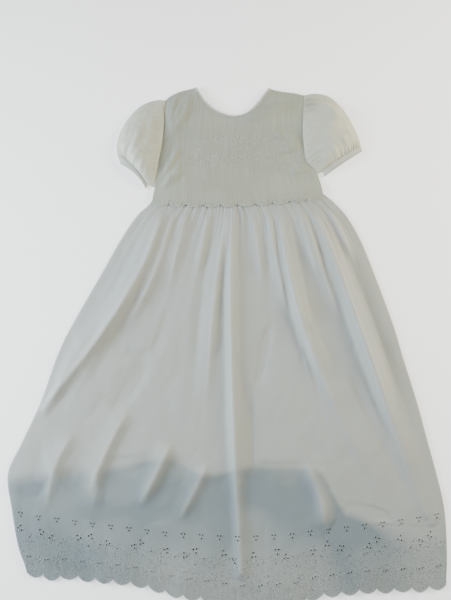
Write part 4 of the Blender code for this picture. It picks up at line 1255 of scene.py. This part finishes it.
def border_motifs(radius):
    """Eyelets of the hem's border, as (share across, distance up, radius), and its satin leaves."""
    cloth = (HEM_WIDTH, 1.0)
    holes, leaves = [], []
    for number in range(HEM_SCALLOPS):
        # three eyelets and three leaves in each sprig of the top row
        sprig = ((number + 0.5) / HEM_SCALLOPS, SPRIGS_UP)
        for turn in SPRIG_TURNS:
            holes.append((*beside(sprig, 0.0024, turn, cloth), radius))
        leaves += petals(sprig, 0.0046, [turn + 1.05 for turn in SPRIG_TURNS], SPRIG_LEAF, cloth)
        # flowers of the second row, each at its own height, and a smaller one beside each
        shift = 0.35 + 0.3 * math.sin(2.4 * number)
        high = FLOWERS_UP + 0.0038 * math.sin(1.9 * number + 0.6)
        flower = ((number + shift) / HEM_SCALLOPS, high)
        for turn in (1.2, 3.3, 5.4):
            holes.append((*beside(flower, 0.0027, turn + number, cloth), radius * 1.1))
        leaves += petals(flower, 0.0058, turns(6, number), FLOWER_PETAL, cloth)
        other = flower[0] + (0.48 + 0.1 * math.sin(3.1 * number)) / HEM_SCALLOPS
        small = (other, high - 0.0075 - 0.002 * math.sin(2.2 * number))
        if other < 0.995:
            holes.append((*small, radius * 0.9))
            leaves += petals(small, 0.0036, turns(5, 0.4 * number), SMALL_PETAL, cloth)
        # a pair above each scallop
        for side in (-1.0, 1.0):
            up = PAIRS_UP + (0.0006 if side > 0 else -0.0004)
            holes.append((sprig[0] + side * 0.0021 / HEM_WIDTH, up, radius * 1.05))
        # a chain of little ones down to where two scallops meet
        for link in range(4 if number else 0):
            share = (number + 0.012 * math.sin(2.0 * link + number)) / HEM_SCALLOPS
            holes.append((share, 0.0235 - 0.0042 * link, radius * 0.68))
    return holes, leaves


def fan_motifs(radius):
    """The fan that fills each scallop: stitched dots and satin rays that spread from above."""
    rings, leaves = [], []
    for number in range(HEM_SCALLOPS):
        middle = (number + 0.5) / HEM_SCALLOPS
        for ray in range(-8, 9):
            lean = ray * 0.13
            odd = ray % 2 == 1
            for step in range(6):
                far = 0.0060 + 0.0042 * step + (0.0021 if odd else 0.0)
                across = far * math.sin(lean) * 0.92
                up = PAIRS_UP - far * math.cos(lean) * 1.04
                share = middle + across / HEM_WIDTH
                lowest = FAN_RISE * ((across / FAN_HALF) ** 2 - 1.0)
                if abs(across) >= FAN_HALF or up <= lowest:
                    continue
                if odd and step > 1:
                    leaves.append((share, up, lean - math.pi / 2, FAN_RAY))
                elif not odd and (step > 2 or ray % 4 == 0):
                    rings.append((share, up, 0.0, (radius,) * 3))
        for side in (-1.0, 1.0):
            for step in range(6):
                bow = 0.0105 - 0.0040 * math.sin(math.pi * (step + 0.5) / 6)
                leaves.append((
                    middle + side * bow / HEM_WIDTH, PAIRS_UP + 0.004 - 0.0046 * step,
                    math.pi / 2 + side * (0.45 - 0.18 * step), FAN_SIDE,
                ))
    return rings, leaves


def bodice_motifs(radius):
    """Eyelets of the bodice, as (share across, share up, radius), and its satin leaves."""
    cloth = (BODICE_WIDTH, BODICE_LENGTH)
    holes, leaves = [], []
    # ring flowers
    x, y, counts = np.array(BODICE_FLOWERS).T
    for number, (*flower, count) in enumerate(zip(*bodice_shares(x, y), counts)):
        holes.append((*flower, radius * 0.8))
        leaves += petals(flower, 0.0044, turns(int(count), 0.5 * number), BODICE_PETAL, cloth)
        leaves += petals(flower, 0.0080, turns(18), RING_STITCH, cloth, lean=math.pi / 2)
    # stems with a pair of leaves at every third stitch
    for x1, y1, bend, x2, y2 in BODICE_STEMS:
        share = np.linspace(0.0, 1.0, STEM_STITCHES)
        curl = bend * np.sin(2.0 * math.pi * share)
        x, y = mixed(x1, x2, share) - curl * (y2 - y1), mixed(y1, y2, share) + curl * (x2 - x1)
        angles = np.arctan2(np.gradient(y), np.gradient(x))
        for step, (*stitch, angle) in enumerate(zip(*bodice_shares(x, y), angles)):
            leaves.append((*stitch, angle, STEM_STITCH))
            for side in (-1.0, 1.0) if step % 3 == 1 else ():
                leaf = beside(stitch, 0.0016, angle + side * math.pi / 2, cloth)
                leaves.append((*leaf, angle + side * 0.7, STEM_LEAF))
    # single eyelets between them
    x, y = np.array(BODICE_EYELETS).T
    for number, eyelet in enumerate(zip(*bodice_shares(x, y))):
        holes.append((*eyelet, radius * 0.65))
        leaves += petals(eyelet, 0.0030, turns(3, number), SMALL_PETAL, cloth)
    # fans over the scallops of the border
    for number in range(WAIST_SCALLOPS):
        middle = (number + 0.5) / WAIST_SCALLOPS
        for ray in range(-3, 4):
            lean = ray * 0.42
            for far in (0.0045, 0.0085):
                across = far * math.sin(lean) * 1.05 / WAIST_WIDTH
                up = 0.0070 - far * math.cos(lean)
                if far < 0.005:
                    holes.append((middle + across, up / BODICE_LENGTH, radius * 0.72))
                up = (up + 0.0005) / BODICE_LENGTH
                leaves.append((middle + across * 1.3, up, lean - math.pi / 2, WAIST_RAY))
    holes = [hole for hole in holes if hole[1] > LOWEST_HOLE]
    return holes, [leaf for leaf in leaves if leaf[1] > LOWEST_LEAF]


class GOWN_OT_skirt(bpy.types.Operator):
    """Skirt front above its border, with gathers, long folds and small wrinkles"""

    bl_idname = "gown.skirt"
    bl_label = "Skirt front"

    def execute(self, context):
        settings = context.scene.gown
        columns, rows = SKIRT_GRID
        u, v = np.meshgrid(side_columns(columns, SIDE_WIDTH), np.linspace(0.0, BORDER_FROM, rows))
        x, y, z = skirt_place(u, v, settings.wrinkle)
        piece = grid_piece(
            "skirt_front_cloth", (x, y, z), u * HEM_WIDTH, (1.0 - v) * HEM_LENGTH,
            skirt_cotton(settings), shade=skirt_shade(x, y),
        )
        laid(thickened(piece, settings.wall), ["skirt_front"])
        return {"FINISHED"}


class GOWN_OT_hem_border(bpy.types.Operator):
    """Embroidered border of the skirt, with real eyelets, a fan in each scallop and its edge"""

    bl_idname = "gown.hem_border"
    bl_label = "Hem border"

    def execute(self, context):
        settings = context.scene.gown
        place = partial(skirt_place, wrinkle=settings.wrinkle)
        holes, leaves = border_motifs(settings.eyelet)
        fans, rays = fan_motifs(settings.eyelet * FAN_DOT)
        columns, rows = BORDER_GRID
        u, v = np.meshgrid(side_columns(columns, SIDE_WIDTH), np.linspace(BORDER_FROM, 1.0, rows))
        s, t, keep = with_eyelets(
            u * HEM_WIDTH, (1.0 - v) * HEM_LENGTH,
            [(share * HEM_WIDTH, up, radius) for share, up, radius in holes],
        )
        x, y, z = place(s / HEM_WIDTH, 1.0 - t / HEM_LENGTH)
        piece = grid_piece(
            "hem_border_cloth", (x, y, z), s, t, skirt_cotton(settings), keep,
            shade=skirt_shade(x, y),
        )
        laid(thickened(piece, settings.wall), ["skirt_front"])
        # the thread and the stitched edge take the skirt's painted shade
        thread = satin("Embroidery thread", settings.needlework, painted_shade_tint=settings.painted_shade_tint)
        rims = [(share, up, 0.0, (radius * HEM_RIM,) * 3) for share, up, radius in holes]
        rings, leaves = (
            [(share, 1.0 - up / HEM_LENGTH, angle, sizes) for share, up, angle, sizes in stitches]
            for stitches in (rims + fans, leaves + rays)
        )
        work = embroidery(
            "hem_embroidery", place, rings, leaves, (HEM_WIDTH, HEM_LENGTH), thread, skirt_shade
        )
        laid(work)
        share = np.linspace(0.0015, 0.9985, HEM_SCALLOPS * 40)
        hem = stitched_edge(
            "hem_stitched_edge", place, share, 1.0, HEM_STITCH, thread, settings.wall, skirt_shade
        )
        return {"FINISHED"}


class GOWN_OT_bodice(bpy.types.Operator):
    """Bodice front with its eyelet flowers, crinkled cotton and scalloped border over the waist"""

    bl_idname = "gown.bodice"
    bl_label = "Bodice front"

    def execute(self, context):
        settings = context.scene.gown
        place = partial(bodice_place, wrinkle=settings.wrinkle)
        holes, leaves = bodice_motifs(settings.eyelet)
        columns, rows = BODICE_GRID
        u, v = np.meshgrid(side_columns(columns, BODICE_WIDTH), np.linspace(0.0, 1.0, rows))
        s, t, keep = with_eyelets(
            u * BODICE_WIDTH, v * BODICE_LENGTH,
            [(across * BODICE_WIDTH, up * BODICE_LENGTH, radius) for across, up, radius in holes],
        )
        x, y, z = place(s / BODICE_WIDTH, t / BODICE_LENGTH)
        piece = grid_piece(
            "bodice_front_cloth", (x, y, z), s, t, bodice_cotton(settings), keep, flip=True,
            shade=bodice_shade(x, y),
        )
        laid(thickened(piece, settings.wall), ["bodice_front"])
        thread = satin("Bodice thread", settings.bodice_thread)
        rings = [(across, up, 0.0, (radius * BODICE_RIM,) * 3) for across, up, radius in holes]
        work = embroidery(
            "bodice_embroidery", place, rings, leaves, (BODICE_WIDTH, BODICE_LENGTH), thread
        )
        laid(work)
        share = np.linspace(0.004, 0.996, WAIST_SCALLOPS * 40)
        border = stitched_edge(
            "waist_stitched_edge", place, share, 0.0, WAIST_STITCH, thread, settings.wall
        )
        return {"FINISHED"}


def across_tube(steps):
    """Even shares over the top of a tube, without its ends."""
    return np.arange(1, steps + 1) / (steps + 1)


def tube_section(width, height, lifts):
    """Distances along a flattened tube and heights: over the top, then back along its underside."""
    bend = np.linspace(0.0, math.pi / 2, 6)
    near = np.stack([TUBE_END * (1.0 - np.cos(bend)), TUBE_END * (1.0 + np.sin(bend))], -1)
    t = across_tube(len(lifts))
    t = t - np.sin(2.0 * math.pi * t) / (4.0 * math.pi)
    rise = np.sin(math.pi * t) ** 0.75
    lift = lifts * eased(rise / 0.7)
    reach = width - 2.0 * TUBE_END
    top = np.stack(
        [TUBE_END + t * reach, 2.0 * TUBE_END + (height - 2.0 * TUBE_END) * rise + lift], -1
    )
    far = np.stack([width - near[::-1, 0], near[::-1, 1]], -1)
    near_floor = np.stack([near[1:, 0], 2.0 * TUBE_END - near[1:, 1]], -1)
    far_floor = np.stack([width - near_floor[:, 0], near_floor[:, 1]], -1)
    under_along = np.linspace(width - TUBE_END, TUBE_END, 26)[1:-1]
    under = np.stack([under_along, np.zeros_like(under_along)], -1)
    return np.concatenate([near, top, far, far_floor, under, near_floor[::-1], near[:1]])


def tube_ring(row, lifts):
    """Places of one ring of a flattened tube, bowed as its row says, and shares of its width."""
    outer, inner = row[0:2], row[2:4]
    run = inner - outer
    width = float(np.linalg.norm(run))
    away = np.array([-run[1], run[0]]) / width
    if away[1] < 0:
        away = -away
    section = tube_section(width, row[4], lifts)
    t = section[:, :1] / width
    plan = outer + run * t + away * (row[5] * 4.0 * t * (1.0 - t))
    return np.column_stack([plan, section[:, 1]]), np.clip(t[:, 0], 0.0, 1.0)


def tube_piece(name, rings, material, wall, flip, shade=None):
    """A sheet that closes round a tube, from the places of its rings."""
    steps = np.linalg.norm(np.diff(rings, axis=1), axis=-1)
    s = np.concatenate([np.zeros((len(rings), 1)), np.cumsum(steps, axis=1)], axis=1)
    t = np.broadcast_to(np.linspace(0.0, 0.06, len(rings))[:, None], s.shape)
    places = np.moveaxis(rings, -1, 0)
    piece = grid_piece(name, places, s, t, material, flip=flip, closed=True, shade=shade)
    return thickened(piece, wall)


def sleeve_rings(table, edge, sign, wrinkle):
    """Rings of a sleeve from armhole to cuff, gathered at both ends and wrinkled between them."""
    t = across_tube(190)
    gathers = np.sin(2 * math.pi * 17 * t + 1.6 * np.sin(7 * t) + 0.5 * sign)
    gathers += 0.5 * np.sin(2 * math.pi * 29 * t + 2.0 * np.sin(5 * t + 1))
    shares = np.linspace(0.0, 1.0, 56)
    rings = []
    for share in shares:
        head = 1.0 - eased(share / HEAD_GATHERS)
        foot = 0.8 - 0.8 * eased((1.0 - share) / FOOT_GATHERS)
        strength = max(head * eased(share / 0.03), foot)
        lifts = SLEEVE_GATHER_LIFT * gathers * strength * wrinkle
        ring, across = tube_ring(spline(table, share), lifts)
        seam = spline(edge, mixed(1.0, UNDERARM, across))
        seam[:, 0] += sign * 3 * SEAM_GAP
        ring[:, :2] = mixed(seam, ring[:, :2], eased(share / 0.3))
        rings.append(ring)
    rings = np.array(rings)
    x, y, z = np.moveaxis(rings, -1, 0)
    share = shares[:, None]
    puff = eased((z - 0.006) / 0.006) * eased(share / 0.15) * eased((1.0 - share) / 0.1)
    uneven = rumpled(x, y, SLEEVE_WAVES)
    uneven += fold_lift(x, y, SLEEVE_WRINKLES, 1.0, 1.1, crisp=True)
    rings[..., 2] += wrinkle * puff * uneven
    return rings


def sleeve_shade(x, y, tucks):
    """Depth of tone of a sleeve: soft patches, and the painted shade of one group of close tucks.
    """
    tuck_x, tuck_y, reach, depth = tucks
    near = np.exp(-((np.hypot(x - tuck_x, y - tuck_y) / reach) ** 2))
    # painted shade of the tucks, in close stripes
    shade = (0.75 + 0.25 * np.sin(y / 0.0016)) * near * depth
    return np.clip(shade + 0.12 + 0.16 * rumple(x, y, 0.014, 4.0), 0.0, 1.0)


class GOWN_OT_sleeves(bpy.types.Operator):
    """Puffed sleeves, gathered at the armholes and into the cuffs"""

    bl_idname = "gown.sleeves"
    bl_label = "Sleeves"

    def execute(self, context):
        settings = context.scene.gown
        cotton = sleeve_cotton(settings)
        for side, sign, table, edge, tucks in (
            ("left", -1.0, LEFT_SLEEVE, LEFT_EDGE, LEFT_TUCK_SHADE),
            ("right", 1.0, RIGHT_SLEEVE, RIGHT_EDGE, RIGHT_TUCK_SHADE),
        ):
            rings = sleeve_rings(table, edge, sign, settings.wrinkle)
            shade = sleeve_shade(rings[..., 0], rings[..., 1], tucks)
            piece = tube_piece(
                f"sleeve_{side}_cloth", rings, cotton, settings.wall, side == "right", shade
            )
            line = spline(edge, np.linspace(1.0, UNDERARM, 120))
            line[:, 0] += sign * 1.5 * SEAM_GAP
            cord = np.column_stack([line, np.full(len(line), ARMHOLE_HEIGHT - 0.0011)])
            laid(rolled(f"armhole_{side}_seam", cord, 0.0010, cotton))
            laid(piece, [f"sleeve_{side}"])
        return {"FINISHED"}


class GOWN_OT_cuffs(bpy.types.Operator):
    """Narrow cuff bands, finely puckered where the sleeves are gathered into them"""

    bl_idname = "gown.cuffs"
    bl_label = "Cuffs"

    def execute(self, context):
        settings = context.scene.gown
        t = across_tube(150)
        puckers = np.sin(2 * math.pi * 26 * t + 1.2 * np.sin(9 * t)) * settings.wrinkle
        for side, start, end in (
            ("left", LEFT_SLEEVE[-1], LEFT_CUFF_END), ("right", RIGHT_SLEEVE[-1], RIGHT_CUFF_END),
        ):
            rings = []
            for share in np.linspace(SEAM_GAP * 2 / CUFF_WIDTH, 1.0, 12):
                lifts = PUCKER_LIFT * puckers + CUFF_CROWN * math.sin(math.pi * share) ** 0.5
                rings.append(tube_ring(mixed(np.array(start), np.array(end), share), lifts)[0])
            piece = tube_piece(
                f"cuff_{side}_cloth", np.array(rings), trim_cotton(settings), settings.wall,
                side == "right",
            )
            laid(piece, [f"cuff_{side}"])
        return {"FINISHED"}


class GOWN_OT_neck_binding(bpy.types.Operator):
    """Rolled binding round the front of the neck"""

    bl_idname = "gown.neck_binding"
    bl_label = "Neck binding"

    def execute(self, context):
        share = np.linspace(0.0, 1.0, 220)
        u = mixed(NECK_LEFT, NECK_RIGHT, share)
        cloth = bodice_place(u, np.ones_like(u), 0.0)[2]
        height = np.maximum(cloth - 0.0005, BINDING_RADIUS)
        line = np.column_stack([neck_point(share, BINDING_RADIUS), height])
        twist = 1.0 + 0.05 * np.sin(np.arange(len(share)) * 1.3)
        cotton = trim_cotton(context.scene.gown)
        piece = rolled("neck_binding_cloth", line, BINDING_RADIUS, cotton, 14, twist)
        laid(piece, ["binding_front"])
        return {"FINISHED"}


class GOWN_OT_backs(bpy.types.Operator):
    """Finishes of the plain back: skirt back, bodice backs and their bindings"""

    bl_idname = "gown.backs"
    bl_label = "Back panels"

    def execute(self, context):
        settings = context.scene.gown
        plain, trim = back_cotton(settings), trim_cotton(settings)
        for name in ("skirt_back", "bodice_back_left", "bodice_back_right"):
            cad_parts[name].data.materials[0] = plain
        for name in ("binding_back_left", "binding_back_right"):
            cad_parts[name].data.materials[0] = trim
        return {"FINISHED"}


class GOWN_OT_buttons(bpy.types.Operator):
    """Three sewn buttons under the back opening"""

    bl_idname = "gown.buttons"
    bl_label = "Buttons"

    def execute(self, context):
        shell = satin("Button shell", context.scene.gown.button, 0.3)
        count, sides = len(BUTTON_PROFILE), 40
        faces = between_rings(count, sides)
        faces.append(list(reversed(range(sides))))
        faces.append([(count - 1) * sides + step for step in range(sides)])
        for number, y in enumerate(BUTTONS_Y):
            points = [
                (
                    BACK_OPENING_X + BUTTON_RADIUS * reach * math.cos(turn),
                    y + BUTTON_RADIUS * reach * math.sin(turn), BUTTON_THICKNESS * high,
                )
                for reach, high in BUTTON_PROFILE for turn in turns(sides)
            ]
            piece = new_piece(f"button_{number + 1}_shell", points, faces, shell)
            laid(piece, [f"button_{number + 1}"])
        return {"FINISHED"}


def aimed(data, where, target):
    """A lamp or camera that stands at a place and faces a target."""
    made = bpy.data.objects.new(data.name, data)
    made.location = where
    made.rotation_euler = (target - where).to_track_quat("-Z", "Y").to_euler()
    bpy.context.scene.collection.objects.link(made)
    return made


class GOWN_OT_stage(bpy.types.Operator):
    """Pale floor, two soft lights and the even surround"""

    bl_idname = "gown.stage"
    bl_label = "Studio"

    def execute(self, context):
        settings = context.scene.gown
        corners = ((-1, -1), (1, -1), (1, 1), (-1, 1))
        floor_mesh = bpy.data.meshes.new("floor")
        floor_mesh.from_pydata(
            [(x * FLOOR_HALF, y * FLOOR_HALF, FLOOR_LEVEL) for x, y in corners],
            [], [(0, 1, 2, 3)],
        )
        floor_mesh.materials.append(surface("Pale floor", {
            "Base Color": (*settings.floor, 1.0), "Roughness": 0.9,
            "Emission Color": (1.0, 1.0, 1.0, 1.0), "Emission Strength": settings.floor_glow,
        }))
        floor = bpy.data.objects.new("floor", floor_mesh)
        context.scene.collection.objects.link(floor)

        target = Vector((WAIST[0], WAIST[1] - 0.17, 0.0))
        for name, where, power, tint in (
            ("Main light", (-1.15, 0.00, 0.52), settings.key, (0.82, 0.93, 1.0)),
            ("Fill light", (1.12, 0.42, 0.52), settings.fill, (1.0, 0.93, 0.72)),
        ):
            light = bpy.data.lights.new(name, "AREA")
            light.shape = "DISK"
            light.size = 0.7
            light.energy = power
            light.spread = math.radians(110.0)
            light.color = tint
            aimed(light, Vector(where) + target, target)
        world = bpy.data.worlds.new("Studio surround")
        world.use_nodes = True
        background = world.node_tree.nodes["Background"]
        background.inputs["Color"].default_value = (0.95, 0.97, 1.0, 1.0)
        background.inputs["Strength"].default_value = settings.sky
        context.scene.world = world
        return {"FINISHED"}


def add_camera():
    """The photo's view: from 78 degrees above the hem's side, 1.2 m away, through a 50 mm lens."""
    elevation = math.radians(78.0)
    data = bpy.data.cameras.new("Photo camera")
    data.lens = 50.0
    data.sensor_width = 36.0
    target = Vector((WAIST[0] - 0.01692, WAIST[1] - 0.14507, 0.0))
    where = target + 1.2 * Vector((0.0, -math.cos(elevation), math.sin(elevation)))
    bpy.context.scene.camera = aimed(data, where, target)


class GOWN_PT_panel(bpy.types.Panel):
    """Sizes, colours and pieces of the gown"""

    bl_label = "Christening gown"
    bl_idname = "GOWN_PT_panel"
    bl_space_type = "VIEW_3D"
    bl_region_type = "UI"
    bl_category = "Gown"

    def draw(self, context):
        for name in GownSettings.__annotations__:
            self.layout.prop(context.scene.gown, name)
        for operator in OPERATORS:
            self.layout.operator(operator.bl_idname)


OPERATORS = (
    GOWN_OT_backs, GOWN_OT_skirt, GOWN_OT_hem_border, GOWN_OT_bodice, GOWN_OT_cuffs,
    GOWN_OT_sleeves, GOWN_OT_neck_binding, GOWN_OT_buttons, GOWN_OT_stage,
)
CLASSES = (GownSettings, *OPERATORS, GOWN_PT_panel)


def register():
    for entry in CLASSES:
        bpy.utils.register_class(entry)
    bpy.types.Scene.gown = bpy.props.PointerProperty(type=GownSettings)


def unregister():
    del bpy.types.Scene.gown
    for entry in reversed(CLASSES):
        bpy.utils.unregister_class(entry)


def main():
    add_camera()
    register()
    bpy.ops.gown.backs()
    bpy.ops.gown.skirt()
    bpy.ops.gown.hem_border()
    bpy.ops.gown.bodice()
    bpy.ops.gown.cuffs()
    bpy.ops.gown.sleeves()
    bpy.ops.gown.neck_binding()
    bpy.ops.gown.buttons()
    bpy.ops.gown.stage()


if __name__ == "__main__":
    main()
